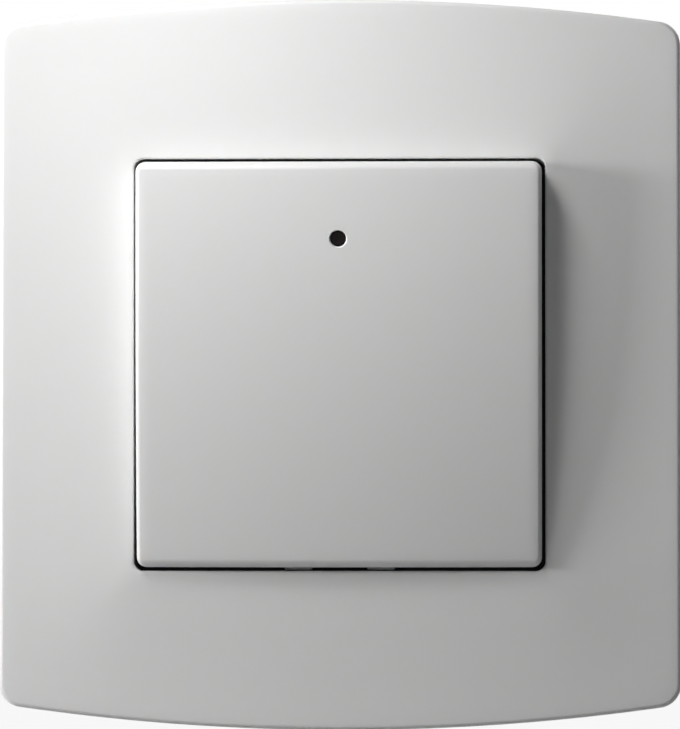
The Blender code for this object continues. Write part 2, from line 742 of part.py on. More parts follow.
for across in (-1, 1):
    for up in (-1, 1):
        middle = Vector(
            (
                across * (BRIDGE_WIDTH / 2 - CORNER_HOLE_FROM_EDGE),
                0,
                up * (BRIDGE_HEIGHT / 2 - CORNER_HOLE_FROM_EDGE),
            )
        )
        hole = rod(
            "bridge_corner_hole",
            CORNER_HOLE_DIAMETER,
            middle + Vector((0, OVERRUN, 0)),
            middle + Vector((0, BRIDGE_FRONT - OVERRUN, 0)),
            steps=SMALL_CIRCLE_STEPS,
        )
        cut(bridge, helper(f"bridge_corner_hole_{across}_{up}", hole))


# Mechanism housing: a deep moulded box that hangs in the bridge's window by its flange and two hooks


housing_mesh = block(
    "mechanism_housing",
    (-HOUSING_SIZE / 2, FLANGE_BACK - JOIN, -HOUSING_SIZE / 2),
    (HOUSING_SIZE / 2, HOUSING_DEPTH, HOUSING_SIZE / 2),
    rounding=HOUSING_CORNER,
    along=1,
)
bm = bmesh.new()
bm.from_mesh(housing_mesh)
back_edges = [e for e in bm.edges if all(abs(v.co.y - HOUSING_DEPTH) < MM / 100 for v in e.verts)]
bmesh.ops.bevel(bm, geom=back_edges, offset=HOUSING_BACK_CHAMFER, segments=2, profile=0.5, affect="EDGES")
bm.to_mesh(housing_mesh)
bm.free()
housing = place("mechanism_housing", housing_mesh, housing_plastic)
join(
    housing,
    helper(
        "housing_flange",
        block(
            "housing_flange",
            (-FLANGE_SIZE / 2, FLANGE_FRONT, -FLANGE_SIZE / 2),
            (FLANGE_SIZE / 2, FLANGE_BACK, FLANGE_SIZE / 2),
            rounding=HOUSING_CORNER,
            along=1,
        ),
    ),
)
for up in (-1, 1):
    ramp = skin(
        "housing_hook",
        [
            [
                (across * HOOK_WIDTH / 2, SEAT_GAP, up * (HOUSING_SIZE / 2 - JOIN)),
                (across * HOOK_WIDTH / 2, SEAT_GAP, up * (HOUSING_SIZE / 2 + HOOK_PROUD)),
                (across * HOOK_WIDTH / 2, SEAT_GAP + HOOK_LENGTH / 3, up * (HOUSING_SIZE / 2 + HOOK_PROUD)),
                (across * HOOK_WIDTH / 2, SEAT_GAP + HOOK_LENGTH, up * (HOUSING_SIZE / 2 - JOIN)),
            ]
            for across in (-1, 1)
        ],
        False,
    )
    join(housing, helper(f"housing_hook_{up}", ramp))
cut(
    housing,
    helper(
        "housing_inside",
        block(
            "housing_inside",
            (-HOUSING_INSIDE, FLANGE_FRONT - OVERRUN, -HOUSING_INSIDE),
            (HOUSING_INSIDE, HOUSING_FLOOR, HOUSING_INSIDE),
            rounding=HOUSING_CORNER - HOUSING_WALL / 2,
            along=1,
        ),
    ),
)
for across in (-1, 1):
    post_x = across * POST_SPACING / 2
    post = block(
        "board_post",
        (post_x - POST_WIDTH / 2, BOARD_BACK + SEAT_GAP, WINDOW_Z - POST_WIDTH / 2),
        (post_x + POST_WIDTH / 2, HOUSING_FLOOR + JOIN, WINDOW_Z + POST_WIDTH / 2),
    )
    join(housing, helper(f"board_post_{across}", post))
    nose_start = COVER_BACK + LEG_REACH
    leg_slot = block(
        "leg_slot",
        (
            across * (HOUSING_INSIDE + HOUSING_WALL / 2) - HOUSING_WALL / 2 - OVERRUN / 2,
            nose_start - LEG_NOSE_LENGTH - SEAT_GAP,
            -LEG_WIDTH / 2 - SEAT_GAP,
        ),
        (
            across * (HOUSING_INSIDE + HOUSING_WALL / 2) + HOUSING_WALL / 2 + OVERRUN / 2,
            nose_start + SEAT_GAP,
            LEG_WIDTH / 2 + SEAT_GAP,
        ),
    )
    cut(housing, helper(f"leg_slot_{across}", leg_slot))
for side in ("right", "left", "top"):
    outwards = SIDES[side][0]
    for number, place_across in enumerate(GROOVE_PLACES):
        groove = spanning(
            "housing_groove",
            at_side(outwards, HOUSING_SIZE / 2 - GROOVE_DEPTH, place_across - GROOVE_WIDTH / 2, GROOVE_START),
            at_side(outwards, HOUSING_SIZE / 2 + OVERRUN, place_across + GROOVE_WIDTH / 2, GROOVE_END),
        )
        cut(housing, helper(f"housing_groove_{side}_{number}", groove))
panel = block(
    "terminal_panel",
    (PANEL_MARGIN - HOUSING_SIZE / 2, HOUSING_DEPTH - PANEL_DEPTH, CAGE_HEIGHT - PANEL_HALF_HEIGHT),
    (HOUSING_SIZE / 2 - PANEL_MARGIN, HOUSING_DEPTH + OVERRUN, CAGE_HEIGHT + PANEL_HALF_HEIGHT),
    rounding=PANEL_CORNER,
    along=1,
)
cut(housing, helper("terminal_panel", panel))
panel_face = HOUSING_DEPTH - PANEL_DEPTH
for number in (-1, 0, 1):
    terminal_x = number * TERMINAL_SPACING
    wire_funnel = rod(
        "wire_funnel",
        WIRE_HOLE_DIAMETER - FUNNEL_DEPTH,
        (terminal_x, panel_face - FUNNEL_DEPTH, CAGE_HEIGHT),
        (terminal_x, panel_face + FUNNEL_DEPTH, CAGE_HEIGHT),
        steps=SMALL_CIRCLE_STEPS,
        end_diameter=WIRE_HOLE_DIAMETER + 3 * FUNNEL_DEPTH,
    )
    cut(housing, helper(f"wire_funnel_{number}", wire_funnel))
    wire_hole = rod(
        "wire_hole",
        WIRE_HOLE_DIAMETER,
        (terminal_x, HOUSING_FLOOR - OVERRUN, CAGE_HEIGHT),
        (terminal_x, HOUSING_DEPTH + OVERRUN, CAGE_HEIGHT),
        steps=SMALL_CIRCLE_STEPS,
    )
    cut(housing, helper(f"wire_hole_{number}", wire_hole))
    driver_hole = rod(
        "driver_hole",
        DRIVER_HOLE_DIAMETER,
        (terminal_x, CAGE_DEPTH, -HOUSING_SIZE / 2 - OVERRUN),
        (terminal_x, CAGE_DEPTH, -HOUSING_INSIDE + OVERRUN),
        steps=SMALL_CIRCLE_STEPS,
    )
    cut(housing, helper(f"driver_hole_{number}", driver_hole))
    cradle = block(
        "terminal_cradle",
        (terminal_x - CAGE_SIZE / 2, CAGE_DEPTH + CAGE_SIZE / 2 + SEAT_GAP, CAGE_HEIGHT - CAGE_SIZE / 2),
        (terminal_x + CAGE_SIZE / 2, HOUSING_FLOOR + JOIN, CAGE_HEIGHT - CAGE_TUNNEL / 2 - SEAT_GAP),
    )
    join(housing, helper(f"terminal_cradle_{number}", cradle))


# Mechanism cover: carries the rocker's bearings, the spring cup, the stops and the lamp's sleeve


cover = place(
    "mechanism_cover",
    block(
        "mechanism_cover",
        (-COVER_SIZE / 2, COVER_FRONT, -COVER_SIZE / 2),
        (COVER_SIZE / 2, COVER_BACK, COVER_SIZE / 2),
        rounding=COVER_CORNER,
        along=1,
    ),
    cover_plastic,
)
ear_inside = CARRIER_WIDTH / 2 + SEAT_GAP
ear_front = HINGE_Y - EAR_ABOVE_PIN
bearing_diameter = TRUNNION_DIAMETER + 2 * RUNNING_GAP
for across in (-1, 1):
    ear = spanning(
        "bearing_ear",
        (across * ear_inside, ear_front, -EAR_HALF_HEIGHT),
        (across * (ear_inside + EAR_THICKNESS), COVER_FRONT + JOIN, EAR_HALF_HEIGHT),
        rounding=EAR_ROUND,
        along=0,
    )
    join(cover, helper(f"bearing_ear_{across}", ear))
    bore = rod(
        "bearing_bore",
        bearing_diameter,
        (across * (ear_inside - OVERRUN), HINGE_Y, 0),
        (across * (ear_inside + EAR_THICKNESS + OVERRUN), HINGE_Y, 0),
    )
    cut(cover, helper(f"bearing_bore_{across}", bore))
    mouth = spanning(
        "bearing_mouth",
        (across * (ear_inside - OVERRUN), ear_front - OVERRUN, -TRUNNION_DIAMETER * MOUTH_SHARE / 2),
        (across * (ear_inside + EAR_THICKNESS + OVERRUN), HINGE_Y, TRUNNION_DIAMETER * MOUTH_SHARE / 2),
    )
    cut(cover, helper(f"bearing_mouth_{across}", mouth))
    leg_x = across * (HOUSING_INSIDE - SEAT_GAP)
    leg = spanning(
        "cover_leg",
        (leg_x, COVER_BACK - JOIN, -LEG_WIDTH / 2),
        (leg_x - across * LEG_THICKNESS, COVER_BACK + LEG_REACH, LEG_WIDTH / 2),
    )
    join(cover, helper(f"cover_leg_{across}", leg))
    nose = skin(
        "leg_nose",
        [
            [
                (leg_x - across * JOIN, COVER_BACK + LEG_REACH - LEG_NOSE_LENGTH, z),
                (leg_x + across * LEG_NOSE, COVER_BACK + LEG_REACH - LEG_NOSE_LENGTH, z),
                (leg_x + across * LEG_NOSE, COVER_BACK + LEG_REACH - LEG_NOSE_LENGTH + LEG_NOSE_FLAT, z),
                (leg_x - across * JOIN, COVER_BACK + LEG_REACH, z),
            ]
            for z in (-LEG_WIDTH / 2, LEG_WIDTH / 2)
        ],
        False,
    )
    join(cover, helper(f"leg_nose_{across}", nose))

cup_inside = SPRING_DIAMETER + 2 * SPRING_PLAY
join(
    cover,
    helper(
        "spring_cup",
        rod(
            "spring_cup",
            cup_inside + 2 * CUP_WALL,
            (0, COVER_BACK - JOIN, SPRING_HEIGHT),
            (0, CUP_BOTTOM + CUP_WALL, SPRING_HEIGHT),
        ),
    ),
)
cut(
    cover,
    helper(
        "spring_cup_bore",
        rod(
            "spring_cup_bore",
            cup_inside,
            (0, COVER_FRONT - OVERRUN, SPRING_HEIGHT),
            (0, CUP_BOTTOM, SPRING_HEIGHT),
        ),
    ),
)
sleeve_bore = LAMP_DIAMETER + 2 * SEAT_GAP
join(
    cover,
    helper(
        "lamp_sleeve",
        rod(
            "lamp_sleeve",
            sleeve_bore + 2 * CUP_WALL,
            (0, COVER_FRONT - CUP_WALL, WINDOW_Z),
            (0, COVER_FRONT + JOIN, WINDOW_Z),
        ),
    ),
)
cut(
    cover,
    helper(
        "lamp_hole",
        rod(
            "lamp_hole",
            sleeve_bore,
            (0, COVER_FRONT - CUP_WALL - OVERRUN, WINDOW_Z),
            (0, COVER_BACK + OVERRUN, WINDOW_Z),
        ),
    ),
)
arm_slot_half = ARM_THICKNESS / 2 + (COVER_BACK - HINGE_Y) * math.sin(REST_TILT) + SEAT_GAP
cut(
    cover,
    helper(
        "arm_slot",
        block(
            "arm_slot",
            (CONTACT_X - ARM_WIDTH / 2 - SEAT_GAP, COVER_FRONT - OVERRUN, -arm_slot_half),
            (CONTACT_X + ARM_WIDTH / 2 + SEAT_GAP, COVER_BACK + OVERRUN, arm_slot_half),
        ),
    ),
)
rest_stop_top = HINGE_Y + CARRIER_BACK + STOP_PLACE * math.sin(REST_TILT) + SEAT_GAP
press_stop_top = HINGE_Y + CARRIER_BACK + STOP_PLACE * math.sin(PRESS_SWING - REST_TILT) + SEAT_GAP
for across in (-1, 1):
    stop_x = across * STOP_SPACING / 2
    rest_stop = block(
        "rest_stop",
        (stop_x - STOP_WIDTH / 2, rest_stop_top, -STOP_PLACE - STOP_HEIGHT / 2),
        (stop_x + STOP_WIDTH / 2, COVER_FRONT + JOIN, -STOP_PLACE + STOP_HEIGHT / 2),
    )
    join(cover, helper(f"rest_stop_{across}", rest_stop))
    press_stop = block(
        "press_stop",
        (stop_x - STOP_WIDTH / 2, press_stop_top, STOP_PLACE - STOP_HEIGHT / 2),
        (stop_x + STOP_WIDTH / 2, COVER_FRONT + JOIN, STOP_PLACE + STOP_HEIGHT / 2),
    )
    join(cover, helper(f"press_stop_{across}", press_stop))


# Rocker carrier: a platform on two trunnions, with an arm that reaches back to the contact blade


key_axis = axis_empty("key_axis", (0, HINGE_Y, 0), REST_TILT)

carrier = place(
    "rocker_carrier",
    block(
        "rocker_carrier",
        (-CARRIER_WIDTH / 2, CARRIER_FRONT, -CARRIER_HEIGHT / 2),
        (CARRIER_WIDTH / 2, CARRIER_BACK, CARRIER_HEIGHT / 2),
        rounding=CARRIER_CORNER,
        along=1,
    ),
    carrier_plastic,
    key_axis,
)
hub = block(
    "carrier_hub",
    (-CARRIER_WIDTH / 2, CARRIER_BACK - JOIN, -HUB_HEIGHT / 2),
    (CARRIER_WIDTH / 2, HUB_BACK, HUB_HEIGHT / 2),
    rounding=HUB_ROUND,
    along=0,
)
join(carrier, helper("carrier_hub", hub, key_axis))
trunnion_start = CARRIER_WIDTH / 2 - JOIN
trunnion_end = CARRIER_WIDTH / 2 + TRUNNION_LENGTH
for across in (-1, 1):
    trunnion = rod(
        "trunnion", TRUNNION_DIAMETER, (across * trunnion_start, 0, 0), (across * trunnion_end, 0, 0)
    )
    join(carrier, helper(f"trunnion_{across}", trunnion, key_axis))
arm = block(
    "carrier_arm",
    (CONTACT_X - ARM_WIDTH / 2, 0, -ARM_THICKNESS / 2),
    (CONTACT_X + ARM_WIDTH / 2, ARM_REACH, ARM_THICKNESS / 2),
)
join(carrier, helper("carrier_arm", arm, key_axis))
arm_end = rod(
    "carrier_arm_end",
    ARM_THICKNESS,
    (CONTACT_X - ARM_WIDTH / 2, ARM_REACH, 0),
    (CONTACT_X + ARM_WIDTH / 2, ARM_REACH, 0),
)
join(carrier, helper("carrier_arm_end", arm_end, key_axis))
peg = rod(
    "spring_peg",
    PEG_DIAMETER,
    (0, CARRIER_BACK - JOIN, SPRING_HEIGHT),
    (0, CARRIER_BACK + PEG_LENGTH, SPRING_HEIGHT),
    steps=SMALL_CIRCLE_STEPS,
    end_diameter=PEG_DIAMETER * PEG_TAPER,
)
join(carrier, helper("spring_peg", peg, key_axis))


# Push button: a square moulded cap with a rounded front edge, clipped on the carrier


def key_outline(inset):
    return outline(
        KEY_SIZE / 2 - inset,
        KEY_RISE + KEY_SIZE / 2 - inset,
        KEY_RISE - KEY_SIZE / 2 + inset,
        max(KEY_CORNER - inset, KEY_SMALLEST_CORNER),
    )


def key_face_at(z):
    """Depth of the face, which is crowned from top to bottom."""
    return KEY_CROWN * ((z - KEY_RISE) / (KEY_SIZE / 2)) ** 2


def crowned_rings(edge, middle_depth, shares):
    """Rings that shrink from an outline to a small flat one in the middle of a crowned face."""
    rings = []
    for share in shares:
        ring = []
        for x, z in edge:
            inner_z = KEY_RISE + (z - KEY_RISE) * share
            ring.append((x * share, middle_depth + key_face_at(inner_z), inner_z))
        rings.append(ring)
    small = CROWN_FLAT_SHARE
    rings.append([(x * small, middle_depth, KEY_RISE + (z - KEY_RISE) * small) for x, z in edge])
    return rings


def key_rings():
    """Rings from the back of the skirt, over the face to its middle."""
    skirt_back = KEY_FRONT + KEY_SKIRT
    rings = [[(x, skirt_back, z) for x, z in key_outline(0.0)]]
    for i in range(ROUND_STEPS + 1):
        angle = math.pi / 2 * i / ROUND_STEPS
        inset = KEY_EDGE_ROUND * (1 - math.cos(angle))
        below = KEY_EDGE_ROUND * (1 - math.sin(angle))
        rings.append([(x, KEY_FRONT + key_face_at(z) + below, z) for x, z in key_outline(inset)])
    return rings + crowned_rings(key_outline(KEY_EDGE_ROUND), KEY_FRONT, KEY_FACE_SHARES)


key_cap = place("key_cap", skin("key_cap", key_rings(), False), button_plastic, key_axis)
smooth(key_cap)
hollow_edge = key_outline(KEY_WALL)
key_hollow = skin(
    "key_hollow",
    [
        [(x, KEY_FRONT + KEY_SKIRT + OVERRUN, z) for x, z in hollow_edge],
        [(x, KEY_INSIDE + key_face_at(z), z) for x, z in hollow_edge],
    ]
    + crowned_rings(hollow_edge, KEY_INSIDE, KEY_HOLLOW_SHARES),
    False,
)
cut(key_cap, helper("key_hollow", key_hollow, key_axis))
socket_bore = LENS_COLLAR_DIAMETER + 2 * RUNNING_GAP
socket_end = KEY_INSIDE + key_face_at(WINDOW_Z) + LENS_COLLAR_LENGTH + SEAT_GAP
socket = rod(
    "lens_socket",
    socket_bore + 2 * LENS_SOCKET_WALL,
    (0, KEY_INSIDE - JOIN, WINDOW_Z),
    (0, socket_end, WINDOW_Z),
)
join(key_cap, helper("lens_socket", socket, key_axis))
window_face = KEY_FRONT + key_face_at(WINDOW_Z)
socket_hole = rod(
    "lens_socket_bore",
    socket_bore,
    (0, KEY_INSIDE + key_face_at(WINDOW_Z), WINDOW_Z),
    (0, socket_end + OVERRUN, WINDOW_Z),
)
cut(key_cap, helper("lens_socket_bore", socket_hole, key_axis))
window_hole = rod(
    "window_hole",
    WINDOW_DIAMETER,
    (0, KEY_FRONT - OVERRUN, WINDOW_Z),
    (0, socket_end, WINDOW_Z),
    steps=CIRCLE_STEPS,
)
cut(key_cap, helper("window_hole", window_hole, key_axis))
window_chamfer = rod(
    "window_chamfer",
    WINDOW_DIAMETER + 4 * WINDOW_CHAMFER,
    (0, window_face - WINDOW_CHAMFER, WINDOW_Z),
    (0, window_face + WINDOW_CHAMFER, WINDOW_Z),
    end_diameter=WINDOW_DIAMETER,
)
cut(key_cap, helper("window_chamfer", window_chamfer, key_axis))
for up in (-1, 1):
    for across in (-1, 1):
        clip_x = across * CLIP_SPACING / 2
        clip_face = up * (CARRIER_HEIGHT / 2 + SEAT_GAP)
        hook_front = CARRIER_BACK + SEAT_GAP
        clip = spanning(
            "key_clip",
            (clip_x - CLIP_WIDTH / 2, KEY_INSIDE - JOIN, clip_face),
            (clip_x + CLIP_WIDTH / 2, hook_front + CLIP_HOOK_LENGTH, clip_face + up * CLIP_WALL),
        )
        join(key_cap, helper(f"key_clip_{up}_{across}", clip, key_axis))
        hook = skin(
            "key_clip_hook",
            [
                [
                    (x, hook_front, clip_face + up * JOIN),
                    (x, hook_front, clip_face - up * (SEAT_GAP + CLIP_HOOK)),
                    (x, hook_front + CLIP_HOOK_LENGTH, clip_face + up * JOIN),
                ]
                for x in (clip_x - CLIP_WIDTH / 2, clip_x + CLIP_WIDTH / 2)
            ],
            False,
        )
        join(key_cap, helper(f"key_clip_hook_{up}_{across}", hook, key_axis))
for across in (-1, 1):
    lug_x = across * LUG_SPACING / 2
    lug_top = KEY_RISE - KEY_SIZE / 2
    lug_back = KEY_FRONT + KEY_SKIRT - LUG_FROM_BACK
    lug = block(
        "key_lug",
        (lug_x - LUG_WIDTH / 2, lug_back - LUG_LENGTH, lug_top - LUG_PROUD),
        (lug_x + LUG_WIDTH / 2, lug_back, lug_top + JOIN),
        rounding=LUG_ROUND,
        steps=1,
    )
    join(key_cap, helper(f"key_lug_{across}", lug, key_axis))


# Indicator lens: a turned light pipe whose neck fills the window and whose collar sits in a socket


def add_turned(obj, material, parent=None):
    """Puts a turned shape among the switch's parts."""
    switch.objects.link(obj)
    obj.parent = parent
    obj.data.materials.append(material)
    return obj


neck_radius = WINDOW_DIAMETER / 2 - LENS_GAP
lens_face = window_face + LENS_RECESS
collar_front = KEY_INSIDE + key_face_at(WINDOW_Z) + RUNNING_GAP
collar_back = collar_front + LENS_COLLAR_LENGTH
lens = turned(
    "indicator_lens",
    [
        (0.0, 0.0),
        (neck_radius * LENS_SHOULDER_SHARE, -LENS_DOME * LENS_SHOULDER_DROP),
        (neck_radius, -LENS_DOME),
        (neck_radius, lens_face - collar_front),
        (LENS_COLLAR_DIAMETER / 2, lens_face - collar_front),
        (LENS_COLLAR_DIAMETER / 2, lens_face - collar_back),
        (LENS_STEM_DIAMETER / 2, lens_face - collar_back),
        (LENS_STEM_DIAMETER / 2, lens_face + LENS_STEM_END),
        (0.0, lens_face + LENS_STEM_END),
    ],
    CIRCLE_STEPS,
    (0, lens_face, WINDOW_Z),
    (0, -1, 0),
)
add_turned(lens, smoked_lens, key_axis)
smooth(lens)


# Lamp, its board and the resistor behind it


lamp_top = -LAMP_TOP_DEPTH
lamp_radius = LAMP_DIAMETER / 2
dome = [
    (lamp_radius * math.sin(angle), -lamp_radius * (1 - math.cos(angle)))
    for angle in (math.radians(a) for a in (0, 22, 45, 67, 90))
]
lamp = turned(
    "led_lamp",
    dome
    + [
        (lamp_radius, LAMP_RIM_LENGTH - LAMP_LENGTH),
        (LAMP_RIM_DIAMETER / 2, LAMP_RIM_LENGTH - LAMP_LENGTH),
        (LAMP_RIM_DIAMETER / 2, -LAMP_LENGTH),
        (0.0, -LAMP_LENGTH),
    ],
    SMALL_CIRCLE_STEPS,
    (0, lamp_top, WINDOW_Z),
    (0, -1, 0),
)
add_turned(lamp, lamp_plastic)
smooth(lamp)
for across in (-1, 1):
    leg_x = across * LAMP_LEG_SPACING / 2
    leg = block(
        "lamp_leg",
        (leg_x - LAMP_LEG_SIZE / 2, lamp_top + LAMP_LENGTH - JOIN, WINDOW_Z - LAMP_LEG_SIZE / 2),
        (leg_x + LAMP_LEG_SIZE / 2, BOARD_FRONT - SEAT_GAP, WINDOW_Z + LAMP_LEG_SIZE / 2),
    )
    join(lamp, helper(f"lamp_leg_{across}", leg))

led_board = place(
    "led_board",
    block(
        "led_board",
        (-BOARD_WIDTH / 2, BOARD_FRONT, WINDOW_Z - BOARD_HEIGHT / 2),
        (BOARD_WIDTH / 2, BOARD_BACK, WINDOW_Z + BOARD_HEIGHT / 2),
        rounding=BOARD_CORNER,
        along=1,
        steps=2,
    ),
    board_laminate,
)
resistor_y = BOARD_BACK + SEAT_GAP + RESISTOR_DIAMETER / 2
half_wire = RESISTOR_SPAN / 2
half_body = RESISTOR_LENGTH / 2
cap = RESISTOR_LENGTH * RESISTOR_CAP_SHARE
waist = RESISTOR_DIAMETER * RESISTOR_WAIST_SHARE
resistor = turned(
    "led_resistor",
    [
        (0.0, half_wire),
        (RESISTOR_WIRE / 2, half_wire),
        (RESISTOR_WIRE / 2, half_body),
        (RESISTOR_DIAMETER * RESISTOR_END_SHARE, half_body),
        (RESISTOR_DIAMETER / 2, half_body - cap / 2),
        (waist, half_body - cap),
        (waist, cap - half_body),
        (RESISTOR_DIAMETER / 2, cap / 2 - half_body),
        (RESISTOR_DIAMETER * RESISTOR_END_SHARE, -half_body),
        (RESISTOR_WIRE / 2, -half_body),
        (RESISTOR_WIRE / 2, -half_wire),
        (0.0, -half_wire),
    ],
    SMALL_CIRCLE_STEPS,
    (0, resistor_y, WINDOW_Z),
    (1, 0, 0),
)
add_turned(resistor, resistor_coat)
smooth(resistor)


# Return spring: a compression coil between the cover's cup and the carrier's peg


def tube(name, points, diameter, material, parent=None, fineness=2):
    """A round wire through points."""
    curve = bpy.data.curves.new(name, "CURVE")
    curve.dimensions = "3D"
    curve.bevel_depth = diameter / 2
    curve.bevel_resolution = fineness
    curve.use_fill_caps = True
    spline = curve.splines.new("POLY")
    spline.points.add(len(points) - 1)
    for spot, point in zip(spline.points, points):
        spot.co = (*point, 1.0)
    curve.materials.append(material)
    obj = bpy.data.objects.new(name, curve)
    obj.parent = parent
    switch.objects.link(obj)
    return obj


def coil_points(start, end):
    """A helix between two depths, with a closed turn at each end."""
    count = int(SPRING_TURNS * SPRING_POINTS_PER_TURN)
    radius = (SPRING_DIAMETER - SPRING_WIRE) / 2
    closed_rise = SPRING_WIRE * CLOSED_TURN_RISE
    open_rise = (end - start) - 2 * closed_rise
    points = []
    for i in range(count + 1):
        turn = i / SPRING_POINTS_PER_TURN
        share = min(max((turn - 1) / (SPRING_TURNS - 2), 0.0), 1.0)
        last_turn = max(turn - SPRING_TURNS + 1, 0.0)
        rise = closed_rise * (min(turn, 1.0) + last_turn) + open_rise * share
        angle = 2 * math.pi * turn
        points.append((radius * math.cos(angle), start + rise, SPRING_HEIGHT + radius * math.sin(angle)))
    return points


peg_face = HINGE_Y + CARRIER_BACK * math.cos(REST_TILT) - SPRING_HEIGHT * math.sin(REST_TILT)
peg_face_highest = peg_face + SPRING_DIAMETER / 2 * math.sin(REST_TILT)
spring_front = peg_face_highest + SEAT_GAP + SPRING_WIRE / 2
spring_back = CUP_BOTTOM - SEAT_GAP - SPRING_WIRE / 2
tube("return_spring", coil_points(spring_front, spring_back), SPRING_WIRE, spring_steel, fineness=1)


# Contact blade, with its silver tip, pushed down by the carrier's arm


blade_root = axis_empty("blade_root", (CONTACT_X, BLADE_ROOT_DEPTH, BLADE_MIDDLE))

moving_contact = place(
    "moving_contact",
    block(
        "moving_contact",
        (-STRIP_WIDTH / 2, BLADE_FRONT - BLADE_ROOT_DEPTH, -BLADE_THICKNESS / 2),
        (STRIP_WIDTH / 2, TIP_DIAMETER / 2, BLADE_THICKNESS / 2),
        rounding=BLADE_CORNER,
        along=2,
        steps=2,
    ),
    blade_bronze,
    blade_root,
)
tip_shape = [
    (0.0, TIP_HEIGHT),
    (TIP_DIAMETER * TIP_SHOULDER_SHARE, TIP_HEIGHT - TIP_CROWN * TIP_SHOULDER_DROP),
    (TIP_DIAMETER / 2, TIP_HEIGHT - TIP_CROWN),
    (TIP_DIAMETER / 2, 0.0),
    (0.0, 0.0),
]
moving_tip = turned(
    "moving_tip",
    tip_shape,
    SMALL_CIRCLE_STEPS,
    (0, CONTACT_Y - BLADE_ROOT_DEPTH, -BLADE_THICKNESS / 2 - SEAT_GAP),
    (0, 0, -1),
)
add_turned(moving_tip, contact_silver, blade_root)
smooth(moving_tip)
fixed_tip = turned(
    "fixed_tip",
    tip_shape,
    SMALL_CIRCLE_STEPS,
    (CONTACT_X, CONTACT_Y, FIXED_TIP_TOP - TIP_HEIGHT),
    (0, 0, 1),
)
add_turned(fixed_tip, contact_silver)
smooth(fixed_tip)


# Brass strips that lead from the contacts and the lamp to the terminals


def add_strip(obj, material):
    """Puts a bent strip among the switch's parts."""
    switch.objects.link(obj)
    obj.data.materials.append(material)
    return obj


tongue_front = CAGE_DEPTH - CAGE_SIZE / 2 - OVERRUN
tongue_back = CAGE_DEPTH + CAGE_SIZE / 2 + OVERRUN
common_shelf = BLADE_BOTTOM - SEAT_GAP - STRIP_THICKNESS / 2
common_strip = add_strip(
    bent_sheet(
        "common_strip",
        [
            (CONTACT_X, tongue_front, TONGUE_Z),
            (CONTACT_X, tongue_back, TONGUE_Z),
            (CONTACT_X, tongue_back, common_shelf),
            (CONTACT_X, BLADE_ROOT_DEPTH - TIP_DIAMETER / 2, common_shelf),
        ],
        STRIP_WIDTH,
        STRIP_THICKNESS,
        (1, 0, 0),
    ),
    brass_strip,
)
shelf_middle = LOAD_SHELF_TOP - STRIP_THICKNESS / 2
load_strip = add_strip(
    bent_sheet(
        "load_strip",
        [
            (0, CONTACT_Y - TIP_DIAMETER / 2, shelf_middle),
            (0, CONTACT_Y + TIP_DIAMETER, shelf_middle),
            (0, CONTACT_Y + TIP_DIAMETER, TONGUE_Z),
            (0, tongue_back, TONGUE_Z),
        ],
        STRIP_WIDTH,
        STRIP_THICKNESS,
        (1, 0, 0),
    ),
    brass_strip,
)
shelf = block(
    "load_shelf",
    (CONTACT_X - STRIP_WIDTH / 2, CONTACT_Y - TIP_DIAMETER / 2, LOAD_SHELF_TOP - STRIP_THICKNESS),
    (0, CONTACT_Y + TIP_DIAMETER / 2, LOAD_SHELF_TOP),
)
join(load_strip, helper("load_shelf", shelf))
neutral_strip = add_strip(
    bent_sheet(
        "neutral_strip",
        [
            (TERMINAL_SPACING, tongue_back, TONGUE_Z),
            (TERMINAL_SPACING, tongue_front, TONGUE_Z),
            (TERMINAL_SPACING, tongue_front, 0),
        ],
        STRIP_WIDTH,
        STRIP_THICKNESS,
        (1, 0, 0),
    ),
    brass_strip,
)


# Terminals: a brass cage round each tongue, drawn up by a slotted screw from below


